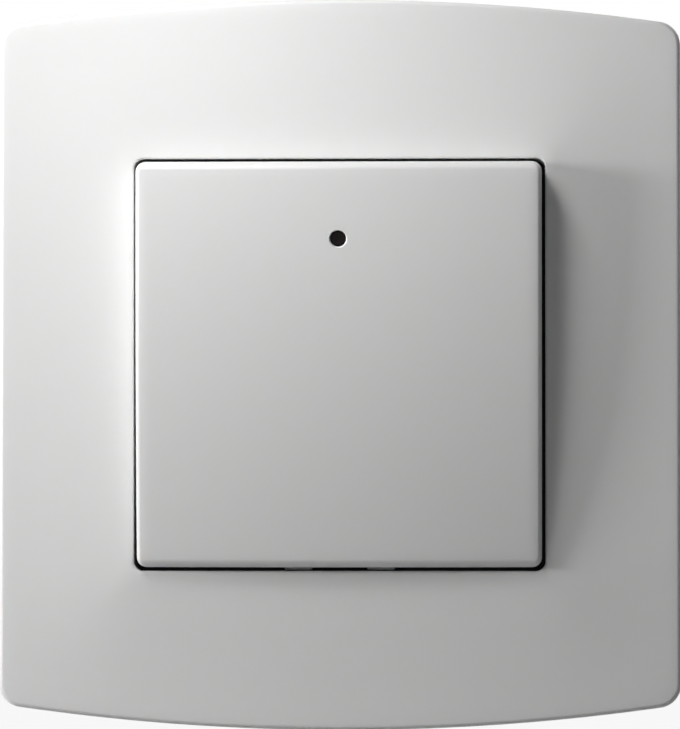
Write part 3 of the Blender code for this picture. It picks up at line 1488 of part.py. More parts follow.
for number in (-1, 0, 1):
    terminal_x = number * TERMINAL_SPACING
    label = str(number + 2)
    cage = place(
        "terminal_cage_" + label,
        block(
            "terminal_cage_" + label,
            (terminal_x - CAGE_SIZE / 2, CAGE_DEPTH - CAGE_SIZE / 2, CAGE_HEIGHT - CAGE_SIZE / 2),
            (terminal_x + CAGE_SIZE / 2, CAGE_DEPTH + CAGE_SIZE / 2, CAGE_HEIGHT + CAGE_SIZE / 2),
            rounding=CAGE_CHAMFER,
            steps=1,
        ),
        cage_brass,
    )
    tunnel = block(
        "cage_tunnel_" + label,
        (terminal_x - CAGE_TUNNEL / 2, CAGE_DEPTH - CAGE_SIZE, CAGE_HEIGHT - CAGE_TUNNEL / 2),
        (terminal_x + CAGE_TUNNEL / 2, CAGE_DEPTH + CAGE_SIZE, CAGE_HEIGHT + CAGE_TUNNEL / 2),
    )
    cut(cage, helper("cage_tunnel_" + label, tunnel))
    thread_hole = rod(
        "cage_thread_" + label,
        SCREW_DIAMETER + 2 * RUNNING_GAP,
        (terminal_x, CAGE_DEPTH, CAGE_HEIGHT - CAGE_SIZE),
        (terminal_x, CAGE_DEPTH, CAGE_HEIGHT),
        steps=SMALL_CIRCLE_STEPS,
    )
    cut(cage, helper("cage_thread_" + label, thread_hole))
    head_top = CAGE_HEIGHT - CAGE_SIZE / 2 - SEAT_GAP
    screw_tip = CAGE_HEIGHT - CAGE_TUNNEL / 2 + SCREW_BITE
    shank_end = head_top - screw_tip - SCREW_HEAD_HEIGHT
    screw = turned(
        "terminal_screw_" + label,
        [
            (0.0, 0.0),
            (SCREW_HEAD_DIAMETER * SCREW_HEAD_FLAT_SHARE, 0.0),
            (SCREW_HEAD_DIAMETER / 2, -SCREW_HEAD_HEIGHT * SCREW_HEAD_EDGE_SHARE),
            (SCREW_HEAD_DIAMETER / 2, -SCREW_HEAD_HEIGHT),
            (SCREW_DIAMETER / 2, -SCREW_HEAD_HEIGHT),
            (SCREW_DIAMETER / 2, shank_end + SCREW_HEAD_HEIGHT * SCREW_POINT_DROP),
            (SCREW_DIAMETER * SCREW_POINT_SHARE, shank_end),
            (0.0, shank_end),
        ],
        SMALL_CIRCLE_STEPS,
        (terminal_x, CAGE_DEPTH, head_top - SCREW_HEAD_HEIGHT),
        (0, 0, -1),
    )
    add_turned(screw, screw_steel)
    smooth(screw)
    driver_slot = block(
        "screw_slot_" + label,
        (
            terminal_x - SCREW_HEAD_DIAMETER,
            CAGE_DEPTH - SCREW_SLOT_WIDTH / 2,
            head_top - SCREW_HEAD_HEIGHT * 2,
        ),
        (
            terminal_x + SCREW_HEAD_DIAMETER,
            CAGE_DEPTH + SCREW_SLOT_WIDTH / 2,
            head_top - SCREW_HEAD_HEIGHT + SCREW_SLOT_DEPTH,
        ),
    )
    cut(screw, helper("screw_slot_" + label, driver_slot))


# Insulated leads from the lamp board to the load strip and the neutral strip


def curved(points, steps=6):
    """Points along a smooth curve through a few given ones."""
    spots = [Vector(point) for point in points]
    spots = [2 * spots[0] - spots[1]] + spots + [2 * spots[-1] - spots[-2]]
    found = []
    for before, start, end, after in zip(spots, spots[1:], spots[2:], spots[3:]):
        for i in range(steps):
            t = i / steps
            found.append(
                0.5
                * (
                    2 * start
                    + (end - before) * t
                    + (2 * before - 5 * start + 4 * end - after) * t**2
                    + (3 * start - before - 3 * end + after) * t**3
                )
            )
    found.append(spots[-2])
    return found


lead_start_y = BOARD_BACK + SEAT_GAP + LEAD_DIAMETER / 2
lead_start_z = WINDOW_Z - BOARD_HEIGHT / 2 + LEAD_DIAMETER
lead_start_x = LEAD_START_SPACING / 2
load_lead_end = (CONTACT_X / 2, CONTACT_Y, LOAD_SHELF_TOP + SEAT_GAP)
tube(
    "led_lead_load",
    curved(
        [
            (-lead_start_x, lead_start_y, lead_start_z),
            (CONTACT_X / 2, lead_start_y + LOAD_LEAD_SAG, lead_start_z - LEAD_DROP),
            (CONTACT_X / 2, lead_start_y, LOAD_SHELF_TOP + LOAD_LEAD_LOOP),
            load_lead_end,
        ]
    ),
    LEAD_DIAMETER,
    lead_cover,
)
neutral_lead_y = tongue_front - STRIP_THICKNESS / 2 - SEAT_GAP - LEAD_DIAMETER / 2
tube(
    "led_lead_neutral",
    curved(
        [
            (lead_start_x, lead_start_y, lead_start_z),
            (
                TERMINAL_SPACING / 2 + NEUTRAL_LEAD_BEND,
                lead_start_y + NEUTRAL_LEAD_SAG,
                lead_start_z - LEAD_DROP,
            ),
            (TERMINAL_SPACING - NEUTRAL_LEAD_SAG, neutral_lead_y - NEUTRAL_LEAD_BEND, NEUTRAL_LEAD_LOOP),
            (TERMINAL_SPACING, neutral_lead_y, NEUTRAL_LEAD_END),
        ]
    ),
    LEAD_DIAMETER,
    lead_cover,
)
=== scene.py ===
import math

import bmesh
import bpy
from mathutils import Matrix, Vector


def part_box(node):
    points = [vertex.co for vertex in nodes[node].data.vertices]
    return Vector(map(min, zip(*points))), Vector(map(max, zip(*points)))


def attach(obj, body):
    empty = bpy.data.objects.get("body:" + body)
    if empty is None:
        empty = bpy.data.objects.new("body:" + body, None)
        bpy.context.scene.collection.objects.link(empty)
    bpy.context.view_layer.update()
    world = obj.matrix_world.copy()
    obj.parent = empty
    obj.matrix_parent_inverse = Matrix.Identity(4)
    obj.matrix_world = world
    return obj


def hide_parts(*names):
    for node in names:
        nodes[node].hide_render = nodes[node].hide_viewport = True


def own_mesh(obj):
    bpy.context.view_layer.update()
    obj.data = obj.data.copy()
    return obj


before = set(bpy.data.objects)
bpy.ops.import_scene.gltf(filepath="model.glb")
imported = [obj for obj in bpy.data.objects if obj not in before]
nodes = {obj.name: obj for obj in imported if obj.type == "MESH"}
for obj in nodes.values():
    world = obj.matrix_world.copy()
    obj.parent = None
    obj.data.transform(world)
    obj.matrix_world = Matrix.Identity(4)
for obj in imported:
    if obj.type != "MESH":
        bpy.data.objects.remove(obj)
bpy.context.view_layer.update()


# Studio. The switch is seen as it hangs on a wall, from over half a metre, a little to its right and
# below. One soft lamp stands to its left, low over the wall, two stand above it and two light its back.
# The pale floor lies below it, and what is seen or mirrored beyond is plain white.

mm = 0.001
view_distance = 592.5 * mm
half_height_seen = 40.5 * mm
view_turn = math.radians(2.0)
view_drop = math.radians(1.4)
view_middle = Vector((0.09, -7.5, -0.03)) * mm
sky_light = 0.02

camera = bpy.data.cameras.new("view")
camera.lens = camera.sensor_width / 2 * view_distance / half_height_seen
camera_object = bpy.data.objects.new("view", camera)
towards_camera = Vector(
    (
        math.cos(view_drop) * math.sin(view_turn),
        -math.cos(view_drop) * math.cos(view_turn),
        -math.sin(view_drop),
    )
)
camera_object.location = view_middle + towards_camera * view_distance
camera_object.rotation_euler = (math.radians(90) + view_drop, 0, view_turn)
bpy.context.scene.collection.objects.link(camera_object)
bpy.context.scene.camera = camera_object
bpy.context.scene.view_settings.view_transform = "Standard"


def soft_lamp(name, across, off_wall, distance, size, watts, behind=False):
    """A square lamp aimed at the switch. Its place is an angle round the plate and one off the wall."""
    round_plate = math.radians(across)
    rise = math.radians(off_wall)
    away = Vector(
        (
            math.cos(rise) * math.cos(round_plate),
            math.sin(rise) * (1 if behind else -1),
            math.cos(rise) * math.sin(round_plate),
        )
    )
    lamp = bpy.data.lights.new(name, "AREA")
    lamp.size = size
    lamp.energy = watts
    lamp_object = bpy.data.objects.new(name, lamp)
    lamp_object.location = away * distance
    lamp_object.rotation_euler = (-away).to_track_quat("-Z", "Y").to_euler()
    lamp_object.visible_camera = False
    bpy.context.scene.collection.objects.link(lamp_object)


soft_lamp("left_lamp", 170, 20, 220 * mm, 50 * mm, 0.35)
soft_lamp("top_lamp", 112, 25, 220 * mm, 60 * mm, 0.20)
soft_lamp("near_lamp", 108, 42, 90 * mm, 30 * mm, 0.017)
soft_lamp("rear_left_lamp", 150, 35, 400 * mm, 250 * mm, 0.5, behind=True)
soft_lamp("rear_right_lamp", 40, 35, 400 * mm, 250 * mm, 0.35, behind=True)

world = bpy.data.worlds.new("white_surroundings")
bpy.context.scene.world = world
world.use_nodes = True
sky = world.node_tree
background = sky.nodes["Background"]
ways = sky.nodes.new("ShaderNodeLightPath")
seen_or_mirrored = sky.nodes.new("ShaderNodeMath")
seen_or_mirrored.operation = "MAXIMUM"
seen_at_all = sky.nodes.new("ShaderNodeMath")
seen_at_all.operation = "MAXIMUM"
sky_strength = sky.nodes.new("ShaderNodeMapRange")
sky_strength.inputs["To Min"].default_value = sky_light
sky_strength.inputs["To Max"].default_value = 1.0
sky.links.new(ways.outputs["Is Camera Ray"], seen_or_mirrored.inputs[0])
sky.links.new(ways.outputs["Is Glossy Ray"], seen_or_mirrored.inputs[1])
sky.links.new(seen_or_mirrored.outputs[0], seen_at_all.inputs[0])
sky.links.new(ways.outputs["Is Transmission Ray"], seen_at_all.inputs[1])
sky.links.new(seen_at_all.outputs[0], sky_strength.inputs["Value"])
sky.links.new(sky_strength.outputs[0], background.inputs["Strength"])
background.inputs["Color"].default_value = (1, 1, 1, 1)

floor_drop = 86 * mm
floor_size = 6.0
floor_grey = 0.4
floor_glow = 0.93
bm = bmesh.new()
bmesh.ops.create_grid(bm, x_segments=1, y_segments=1, size=floor_size / 2)
floor_mesh = bpy.data.meshes.new("floor")
bm.to_mesh(floor_mesh)
bm.free()
floor = bpy.data.objects.new("floor", floor_mesh)
floor.location = (0, 0, -floor_drop)
bpy.context.scene.collection.objects.link(floor)
floor_paint = bpy.data.materials.new("floor_paint")
floor_paint.use_nodes = True
paint = floor_paint.node_tree
paint.nodes.remove(paint.nodes["Principled BSDF"])
matt = paint.nodes.new("ShaderNodeBsdfDiffuse")
matt.inputs["Color"].default_value = (floor_grey, floor_grey, floor_grey, 1)
glow = paint.nodes.new("ShaderNodeEmission")
glow.inputs["Color"].default_value = (1, 1, 1, 1)
glow.inputs["Strength"].default_value = 1.0
floor_ways = paint.nodes.new("ShaderNodeLightPath")
glow_share = paint.nodes.new("ShaderNodeMath")
glow_share.operation = "MULTIPLY"
glow_share.inputs[1].default_value = floor_glow
floor_seen = paint.nodes.new("ShaderNodeMath")
floor_seen.operation = "MAXIMUM"
blend = paint.nodes.new("ShaderNodeMixShader")
paint.links.new(floor_ways.outputs["Is Camera Ray"], floor_seen.inputs[0])
paint.links.new(floor_ways.outputs["Is Glossy Ray"], floor_seen.inputs[1])
paint.links.new(floor_seen.outputs[0], glow_share.inputs[0])
paint.links.new(glow_share.outputs[0], blend.inputs["Fac"])
paint.links.new(matt.outputs[0], blend.inputs[1])
paint.links.new(glow.outputs[0], blend.inputs[2])
paint.links.new(blend.outputs[0], paint.nodes["Material Output"].inputs["Surface"])
floor_mesh.materials.append(floor_paint)


# Mounting bridge. One stamped sheet of zinc plated steel that is screwed to the wall box. It has long
# slots for the box screws, a square window for the mechanism, and four tabs bent forward that grip the
# plate.

shading_edge = math.radians(32)
# Colour of the painted shade laid where other pieces stand close.
painted_shade_colour = (0.012, 0.012, 0.011)


def add_node(tree, kind, **settings):
    """A material node with some of its settings and unlinked inputs filled in."""
    made = tree.nodes.new(kind)
    for key, value in settings.items():
        if hasattr(made, key):
            setattr(made, key, value)
        else:
            made.inputs[key.replace("_", " ").title()].default_value = value
    return made


def worked_metal(
    name, colour, shade, roughness, drawn=(1.0, 1.0, 1.0), marks=260.0, mark_depth=0.004 * mm, shade_reach=0.0
):
    """Rolled, drawn or plated metal: faint marks along the way it was worked, and an uneven polish.

    With a shade reach, painted shade darkens the colour wherever other pieces stand that close, in gaps and
    under covering pieces.
    """
    tone_scale = 90.0
    smoother = 0.06
    rougher = 0.08
    mark_strength = 0.4
    fully_shaded_below = 0.25
    unshaded_above = 0.7
    material = bpy.data.materials.new(name)
    material.use_nodes = True
    tree = material.node_tree
    shader = tree.nodes["Principled BSDF"]
    place = tree.nodes.new("ShaderNodeTexCoord")
    stretch = tree.nodes.new("ShaderNodeMapping")
    stretch.inputs["Scale"].default_value = drawn
    cloud = add_node(tree, "ShaderNodeTexNoise", scale=tone_scale, detail=3.0, roughness=0.55)
    tone = tree.nodes.new("ShaderNodeMix")
    tone.data_type = "RGBA"
    tone.inputs["A"].default_value = (*shade, 1)
    tone.inputs["B"].default_value = (*colour, 1)
    scratches = add_node(tree, "ShaderNodeTexNoise", scale=marks, detail=4.0, roughness=0.6)
    gloss = tree.nodes.new("ShaderNodeMapRange")
    gloss.inputs["From Min"].default_value = 0.3
    gloss.inputs["From Max"].default_value = 0.7
    gloss.inputs["To Min"].default_value = roughness - smoother
    gloss.inputs["To Max"].default_value = roughness + rougher
    relief = tree.nodes.new("ShaderNodeBump")
    relief.inputs["Strength"].default_value = mark_strength
    relief.inputs["Distance"].default_value = mark_depth
    tree.links.new(place.outputs["Object"], stretch.inputs["Vector"])
    for noise in (cloud, scratches):
        tree.links.new(stretch.outputs["Vector"], noise.inputs["Vector"])
    tree.links.new(cloud.outputs["Fac"], tone.inputs["Factor"])
    tree.links.new(tone.outputs["Result"], shader.inputs["Base Color"])
    tree.links.new(scratches.outputs["Fac"], gloss.inputs["Value"])
    tree.links.new(gloss.outputs["Result"], shader.inputs["Roughness"])
    tree.links.new(scratches.outputs["Fac"], relief.inputs["Height"])
    tree.links.new(relief.outputs["Normal"], shader.inputs["Normal"])
    shader.inputs["Metallic"].default_value = 1.0
    # Painted shade: ambient occlusion darkens the base colour where other pieces stand close.
    if shade_reach:
        open_air = tree.nodes.new("ShaderNodeAmbientOcclusion")
        open_air.inputs["Distance"].default_value = shade_reach
        open_air.samples = 8
        painted_shade = tree.nodes.new("ShaderNodeMix")
        painted_shade.data_type = "RGBA"
        painted_shade.inputs["A"].default_value = (*painted_shade_colour, 1)
        unshaded_share = tree.nodes.new("ShaderNodeMapRange")
        unshaded_share.inputs["From Min"].default_value = fully_shaded_below
        unshaded_share.inputs["From Max"].default_value = unshaded_above
        tree.links.new(open_air.outputs["AO"], unshaded_share.inputs["Value"])
        tree.links.new(unshaded_share.outputs["Result"], painted_shade.inputs["Factor"])
        tree.links.new(tone.outputs["Result"], painted_shade.inputs["B"])
        tree.links.new(painted_shade.outputs["Result"], shader.inputs["Base Color"])
    return material


def edge_shading():
    """Smooth shading that stops at sharp edges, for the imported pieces."""
    group = bpy.data.node_groups.new("edge_shading", "GeometryNodeTree")
    group.interface.new_socket("Geometry", in_out="INPUT", socket_type="NodeSocketGeometry")
    group.interface.new_socket("Geometry", in_out="OUTPUT", socket_type="NodeSocketGeometry")
    arriving = group.nodes.new("NodeGroupInput")
    leaving = group.nodes.new("NodeGroupOutput")
    welded = group.nodes.new("GeometryNodeMergeByDistance")
    welded.inputs["Distance"].default_value = 0.001 * mm
    rounded = group.nodes.new("GeometryNodeSetShadeSmooth")
    rounded.domain = "FACE"
    angle = group.nodes.new("GeometryNodeInputMeshEdgeAngle")
    sharp = group.nodes.new("ShaderNodeMath")
    sharp.operation = "GREATER_THAN"
    sharp.inputs[1].default_value = shading_edge
    creased = group.nodes.new("GeometryNodeSetShadeSmooth")
    creased.domain = "EDGE"
    creased.inputs["Shade Smooth"].default_value = False
    group.links.new(arriving.outputs[0], welded.inputs["Geometry"])
    group.links.new(welded.outputs["Geometry"], rounded.inputs["Geometry"])
    group.links.new(rounded.outputs["Geometry"], creased.inputs["Geometry"])
    group.links.new(angle.outputs["Unsigned Angle"], sharp.inputs[0])
    group.links.new(sharp.outputs[0], creased.inputs["Selection"])
    group.links.new(creased.outputs["Geometry"], leaving.inputs[0])
    return group


packed_piece_shading = edge_shading()


def dressed(node, material):
    """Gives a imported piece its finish."""
    piece = nodes[node]
    for held in piece.material_slots:
        held.material = material
    shading = piece.modifiers.new("edge_shading", "NODES")
    shading.node_group = packed_piece_shading


# Painted shade darkens the bridge's colour wherever the plate and housing stand close over it.
bridge_steel = worked_metal(
    "bridge_steel",
    (0.56, 0.57, 0.59),
    (0.46, 0.47, 0.48),
    0.38,
    drawn=(0.4, 1.0, 3.0),
    marks=420.0,
    shade_reach=6 * mm,
)
dressed("mounting_bridge", bridge_steel)


# Mechanism housing. A deep box of dark grey heat-proof plastic, moulded in one piece with the flange and
# two hooks that hold it in the bridge, the wire entries in its back and the cradles for the terminals.

plastic_ior = 1.5


def moulded_plastic(name, colour, shade, roughness, grain, grain_depth, translucency=0.0):
    """Injection moulded plastic: a faint drift of tone from the melt's flow, and the mould's fine grain."""
    flow_scale = 24.0
    polish_scale = 45.0
    smoother = 0.03
    rougher = 0.04
    grain_strength = 0.35
    light_reach = 0.3 * mm
    material = bpy.data.materials.new(name)
    material.use_nodes = True
    tree = material.node_tree
    shader = tree.nodes["Principled BSDF"]
    place = tree.nodes.new("ShaderNodeTexCoord")
    flow = add_node(tree, "ShaderNodeTexNoise", scale=flow_scale, detail=0.0)
    tone = tree.nodes.new("ShaderNodeMix")
    tone.data_type = "RGBA"
    tone.inputs["A"].default_value = (*shade, 1)
    tone.inputs["B"].default_value = (*colour, 1)
    polish = add_node(tree, "ShaderNodeTexNoise", scale=polish_scale, detail=0.0)
    gloss = tree.nodes.new("ShaderNodeMapRange")
    gloss.inputs["To Min"].default_value = roughness - smoother
    gloss.inputs["To Max"].default_value = roughness + rougher
    texture = add_node(tree, "ShaderNodeTexNoise", scale=grain, detail=2.0, roughness=0.5)
    relief = tree.nodes.new("ShaderNodeBump")
    relief.inputs["Strength"].default_value = grain_strength
    relief.inputs["Distance"].default_value = grain_depth
    for noise in (flow, polish, texture):
        tree.links.new(place.outputs["Object"], noise.inputs["Vector"])
    tree.links.new(flow.outputs["Fac"], tone.inputs["Factor"])
    tree.links.new(tone.outputs["Result"], shader.inputs["Base Color"])
    tree.links.new(polish.outputs["Fac"], gloss.inputs["Value"])
    tree.links.new(gloss.outputs["Result"], shader.inputs["Roughness"])
    tree.links.new(texture.outputs["Fac"], relief.inputs["Height"])
    tree.links.new(relief.outputs["Normal"], shader.inputs["Normal"])
    shader.inputs["IOR"].default_value = plastic_ior
    if translucency:
        shader.inputs["Subsurface Weight"].default_value = translucency
        shader.inputs["Subsurface Radius"].default_value = (1.0, 0.72, 0.5)
        shader.inputs["Subsurface Scale"].default_value = light_reach
    return material


housing_grey = moulded_plastic(
    "housing_grey", (0.27, 0.28, 0.29), (0.23, 0.24, 0.25), 0.46, 2600.0, 0.03 * mm
)
dressed("mechanism_housing", housing_grey)


# Terminals. Three blocks of extruded brass with a square tunnel for the wire, each closed by a
# plated steel screw with a slotted head, which is turned through the holes in the housing's underside.

terminal_brass = worked_metal(
    "terminal_brass", (0.78, 0.60, 0.32), (0.66, 0.48, 0.23), 0.36, drawn=(3.0, 0.4, 3.0), marks=500.0
)
terminal_screw_steel = worked_metal(
    "terminal_screw_steel", (0.64, 0.64, 0.66), (0.54, 0.54, 0.55), 0.28, marks=900.0
)
for number in (1, 2, 3):
    dressed(f"terminal_cage_{number}", terminal_brass)
    dressed(f"terminal_screw_{number}", terminal_screw_steel)


# Current path. Strips stamped from brass sheet run from the terminals, a springy bronze blade bends
# when the rocker's arm pushes it, and riveted silver tips on the blade and the strip under it meet.

strip_brass = worked_metal(
    "strip_brass", (0.80, 0.61, 0.29), (0.69, 0.50, 0.22), 0.30, drawn=(3.0, 0.5, 3.0), marks=600.0
)
for strip in ("common_strip", "load_strip", "neutral_strip"):
    dressed(strip, strip_brass)
blade_bronze = worked_metal(
    "blade_bronze", (0.74, 0.47, 0.27), (0.62, 0.37, 0.20), 0.27, drawn=(3.0, 0.3, 3.0), marks=700.0
)
dressed("moving_contact", blade_bronze)
tip_silver = worked_metal("tip_silver", (0.86, 0.85, 0.82), (0.74, 0.72, 0.68), 0.24, marks=1400.0)
for tip in ("moving_tip", "fixed_tip"):
    dressed(tip, tip_silver)


# Indicator lamp. A small amber-red lamp of clear resin, soldered to a strip of green laminate with a
# resistor behind it, and two thin leads in black plastic that run to the terminals.


def clear_resin(name, colour, shade, roughness, clearness, shine=0.5):
    """Cast or moulded clear plastic, with faint streaks in its colour."""
    streak_scale = 700.0
    wear_scale = 1500.0
    smoothest = 0.6
    roughest = 1.6
    material = bpy.data.materials.new(name)
    material.use_nodes = True
    tree = material.node_tree
    shader = tree.nodes["Principled BSDF"]
    place = tree.nodes.new("ShaderNodeTexCoord")
    streaks = add_node(tree, "ShaderNodeTexNoise", scale=streak_scale, detail=2.0, roughness=0.5)
    tone = tree.nodes.new("ShaderNodeMix")
    tone.data_type = "RGBA"
    tone.inputs["A"].default_value = (*shade, 1)
    tone.inputs["B"].default_value = (*colour, 1)
    wear = add_node(tree, "ShaderNodeTexNoise", scale=wear_scale, detail=3.0, roughness=0.6)
    gloss = tree.nodes.new("ShaderNodeMapRange")
    gloss.inputs["To Min"].default_value = roughness * smoothest
    gloss.inputs["To Max"].default_value = roughness * roughest
    for noise in (streaks, wear):
        tree.links.new(place.outputs["Object"], noise.inputs["Vector"])
    tree.links.new(streaks.outputs["Fac"], tone.inputs["Factor"])
    tree.links.new(tone.outputs["Result"], shader.inputs["Base Color"])
    tree.links.new(wear.outputs["Fac"], gloss.inputs["Value"])
    tree.links.new(gloss.outputs["Result"], shader.inputs["Roughness"])
    shader.inputs["IOR"].default_value = plastic_ior
    shader.inputs["Transmission Weight"].default_value = clearness
    shader.inputs["Specular IOR Level"].default_value = shine
    return material


def laminate(name, colour, shade):
    """Glass cloth laminate under green lacquer, whose weave shows faintly."""
    thread_scale = 180.0
    weave_strength = 0.3
    weave_depth = 0.01 * mm
    lacquer_roughness = 0.3
    material = bpy.data.materials.new(name)
    material.use_nodes = True
    tree = material.node_tree
    shader = tree.nodes["Principled BSDF"]
    place = tree.nodes.new("ShaderNodeTexCoord")
    weave = []
    for direction in ("X", "Z"):
        threads = add_node(tree, "ShaderNodeTexWave", scale=thread_scale, distortion=0.4, detail=1.0)
        threads.bands_direction = direction
        tree.links.new(place.outputs["Object"], threads.inputs["Vector"])
        weave.append(threads)
    crossed = tree.nodes.new("ShaderNodeMath")
    crossed.operation = "MULTIPLY"
    tone = tree.nodes.new("ShaderNodeMix")
    tone.data_type = "RGBA"
    tone.inputs["A"].default_value = (*shade, 1)
    tone.inputs["B"].default_value = (*colour, 1)
    relief = tree.nodes.new("ShaderNodeBump")
    relief.inputs["Strength"].default_value = weave_strength
    relief.inputs["Distance"].default_value = weave_depth
    for place_in, threads in enumerate(weave):
        tree.links.new(threads.outputs["Fac"], crossed.inputs[place_in])
    tree.links.new(crossed.outputs[0], tone.inputs["Factor"])
    tree.links.new(tone.outputs["Result"], shader.inputs["Base Color"])
    tree.links.new(crossed.outputs[0], relief.inputs["Height"])
    tree.links.new(relief.outputs["Normal"], shader.inputs["Normal"])
    shader.inputs["Roughness"].default_value = lacquer_roughness
    return material


def banded_resistor(name, coat, wire, half_body, bands):
    """A resistor's pale coat with painted rings, and its tinned wires beyond the body's ends."""
    coat_start = 0.005
    coat_end = 0.995
    coat_share = 0.99
    dimple_scale = 2400.0
    dimple_strength = 0.3
    dimple_depth = 0.02 * mm
    coat_roughness = 0.35
    material = bpy.data.materials.new(name)
    material.use_nodes = True
    tree = material.node_tree
    shader = tree.nodes["Principled BSDF"]
    place = tree.nodes.new("ShaderNodeTexCoord")
    apart = tree.nodes.new("ShaderNodeSeparateXYZ")
    along = tree.nodes.new("ShaderNodeMapRange")
    along.inputs["From Min"].default_value = -half_body
    along.inputs["From Max"].default_value = half_body
    rings = tree.nodes.new("ShaderNodeValToRGB")
    rings.color_ramp.interpolation = "CONSTANT"
    stops = rings.color_ramp.elements
    stops[0].position = 0.0
    stops[0].color = (*wire, 1)
    stops[1].position = coat_start
    stops[1].color = (*coat, 1)
    for start, end, colour in bands:
        ring = stops.new(start)
        ring.color = (*colour, 1)
        back_to_coat = stops.new(end)
        back_to_coat.color = (*coat, 1)
    last = stops.new(coat_end)
    last.color = (*wire, 1)
    outside = tree.nodes.new("ShaderNodeMath")
    outside.operation = "ABSOLUTE"
    tinned = tree.nodes.new("ShaderNodeMath")
    tinned.operation = "GREATER_THAN"
    tinned.inputs[1].default_value = half_body * coat_share
    dimples = add_node(tree, "ShaderNodeTexNoise", scale=dimple_scale, detail=2.0, roughness=0.5)
    relief = tree.nodes.new("ShaderNodeBump")
    relief.inputs["Strength"].default_value = dimple_strength
    relief.inputs["Distance"].default_value = dimple_depth
    tree.links.new(place.outputs["Object"], apart.inputs["Vector"])
    tree.links.new(apart.outputs["X"], along.inputs["Value"])
    tree.links.new(along.outputs["Result"], rings.inputs["Fac"])
    tree.links.new(rings.outputs["Color"], shader.inputs["Base Color"])
    tree.links.new(apart.outputs["X"], outside.inputs[0])
    tree.links.new(outside.outputs[0], tinned.inputs[0])
    tree.links.new(tinned.outputs[0], shader.inputs["Metallic"])
    tree.links.new(place.outputs["Object"], dimples.inputs["Vector"])
    tree.links.new(dimples.outputs["Fac"], relief.inputs["Height"])
    tree.links.new(relief.outputs["Normal"], shader.inputs["Normal"])
    shader.inputs["Roughness"].default_value = coat_roughness
    return material


resistor_half_body = 3.0 * mm
resistor_rings = [
    (0.14, 0.22, (0.45, 0.20, 0.02)),
    (0.34, 0.42, (0.45, 0.20, 0.02)),
    (0.50, 0.58, (0.50, 0.38, 0.02)),
    (0.78, 0.86, (0.42, 0.30, 0.08)),
]
dressed("led_lamp", clear_resin("lamp_resin", (0.85, 0.20, 0.05), (0.70, 0.13, 0.03), 0.10, 0.35))
dressed("led_board", laminate("board_laminate", (0.06, 0.26, 0.12), (0.03, 0.17, 0.07)))
resistor_coat = banded_resistor(
    "resistor_coat", (0.58, 0.45, 0.28), (0.62, 0.62, 0.63), resistor_half_body, resistor_rings
)
dressed("led_resistor", resistor_coat)
lead_black = moulded_plastic(
    "lead_black", (0.045, 0.045, 0.047), (0.03, 0.03, 0.032), 0.42, 3000.0, 0.01 * mm
)
for lead in ("led_lead_load", "led_lead_neutral"):
    dressed(lead, lead_black)


# Mechanism cover. A pale grey moulded plate that closes the housing and snaps in by two legs. It has two
# open bearings for the rocker, a cup for the spring, four stops and a sleeve for the lamp.

cover_grey = moulded_plastic(
    "cover_grey", (0.62, 0.63, 0.62), (0.57, 0.58, 0.57), 0.42, 2600.0, 0.025 * mm
)
dressed("mechanism_cover", cover_grey)


# Rocker carrier. Stiff, slippery off-white plastic, moulded with two stub axles that snap in the cover's
# bearings, an arm that reaches back to the contact blade, and a peg for the spring.

carrier_white = moulded_plastic(
    "carrier_white", (0.78, 0.78, 0.74), (0.74, 0.74, 0.70), 0.38, 2600.0, 0.02 * mm
)
dressed("rocker_carrier", carrier_white)


# Return spring. A small coil of drawn spring steel with closed ends, which stands in the cover's cup
# and is held by the carrier's peg. In use it is squeezed as the button goes in; here it stands at rest.

spring_steel = worked_metal("spring_steel", (0.58, 0.58, 0.59), (0.47, 0.47, 0.48), 0.26, marks=1600.0)
spring_wire = 0.25 * mm
spring_radius = 2.4 * mm
spring_turns = 6
spring_closed_rise = 0.575 * mm
spring_height = 7.295 * mm
spring_low, spring_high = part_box("return_spring")
spring_front = spring_low.y + spring_wire
spring_back = spring_high.y - spring_wire
wire_steps = 14
coil_steps = 60


def coil_wire(name):
    """Round wire wound in even turns between two closed ones, with flat ends."""
    bm = bmesh.new()
    centres = []
    count = spring_turns * coil_steps
    open_rise = spring_back - spring_front - 2 * spring_closed_rise
    for i in range(count + 1):
        turn = i / coil_steps
        share = min(max((turn - 1) / (spring_turns - 2), 0.0), 1.0)
        last_turn = max(turn - spring_turns + 1, 0.0)
        rise = spring_closed_rise * (min(turn, 1.0) + last_turn) + open_rise * share
        angle = 2 * math.pi * turn
        outwards = Vector((math.cos(angle), 0, math.sin(angle)))
        middle = Vector((0, spring_front + rise, spring_height))
        centres.append((outwards * spring_radius + middle, outwards))
    rings = []
    for i, (centre, outwards) in enumerate(centres):
        ahead = centres[min(i + 1, count)][0] - centres[max(i - 1, 0)][0]
        upwards = ahead.cross(outwards).normalized()
        ring = []
        for k in range(wire_steps):
            round_wire = 2 * math.pi * k / wire_steps
            aside = outwards * math.cos(round_wire) + upwards * math.sin(round_wire)
            ring.append(bm.verts.new(centre + spring_wire * aside))
        rings.append(ring)
    for ring, following in zip(rings, rings[1:]):
        for k in range(wire_steps):
            m = (k + 1) % wire_steps
            bm.faces.new((ring[k], ring[m], following[m], following[k]))
    bm.faces.new(rings[0])
    bm.faces.new(rings[-1])
    bmesh.ops.recalc_face_normals(bm, faces=bm.faces)
    mesh = bpy.data.meshes.new(name)
    bm.to_mesh(mesh)
    bm.free()
    return mesh


spring = bpy.data.objects.new("return_spring_coil", coil_wire("return_spring_coil"))
bpy.context.scene.collection.objects.link(spring)
spring.data.materials.append(spring_steel)
spring.data.shade_smooth()
spring.data.set_sharp_from_angle(angle=shading_edge)
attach(spring, "switch_body")
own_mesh(spring)
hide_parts("return_spring")


# Surround plate. One shallow shell of glossy white thermoplastic, injection moulded, with bowed ends,
# a face that falls away gently from the opening, a fine outer edge, and a collar that lines the opening.
# Four small catches on the collar snap under the bridge's spring tabs.

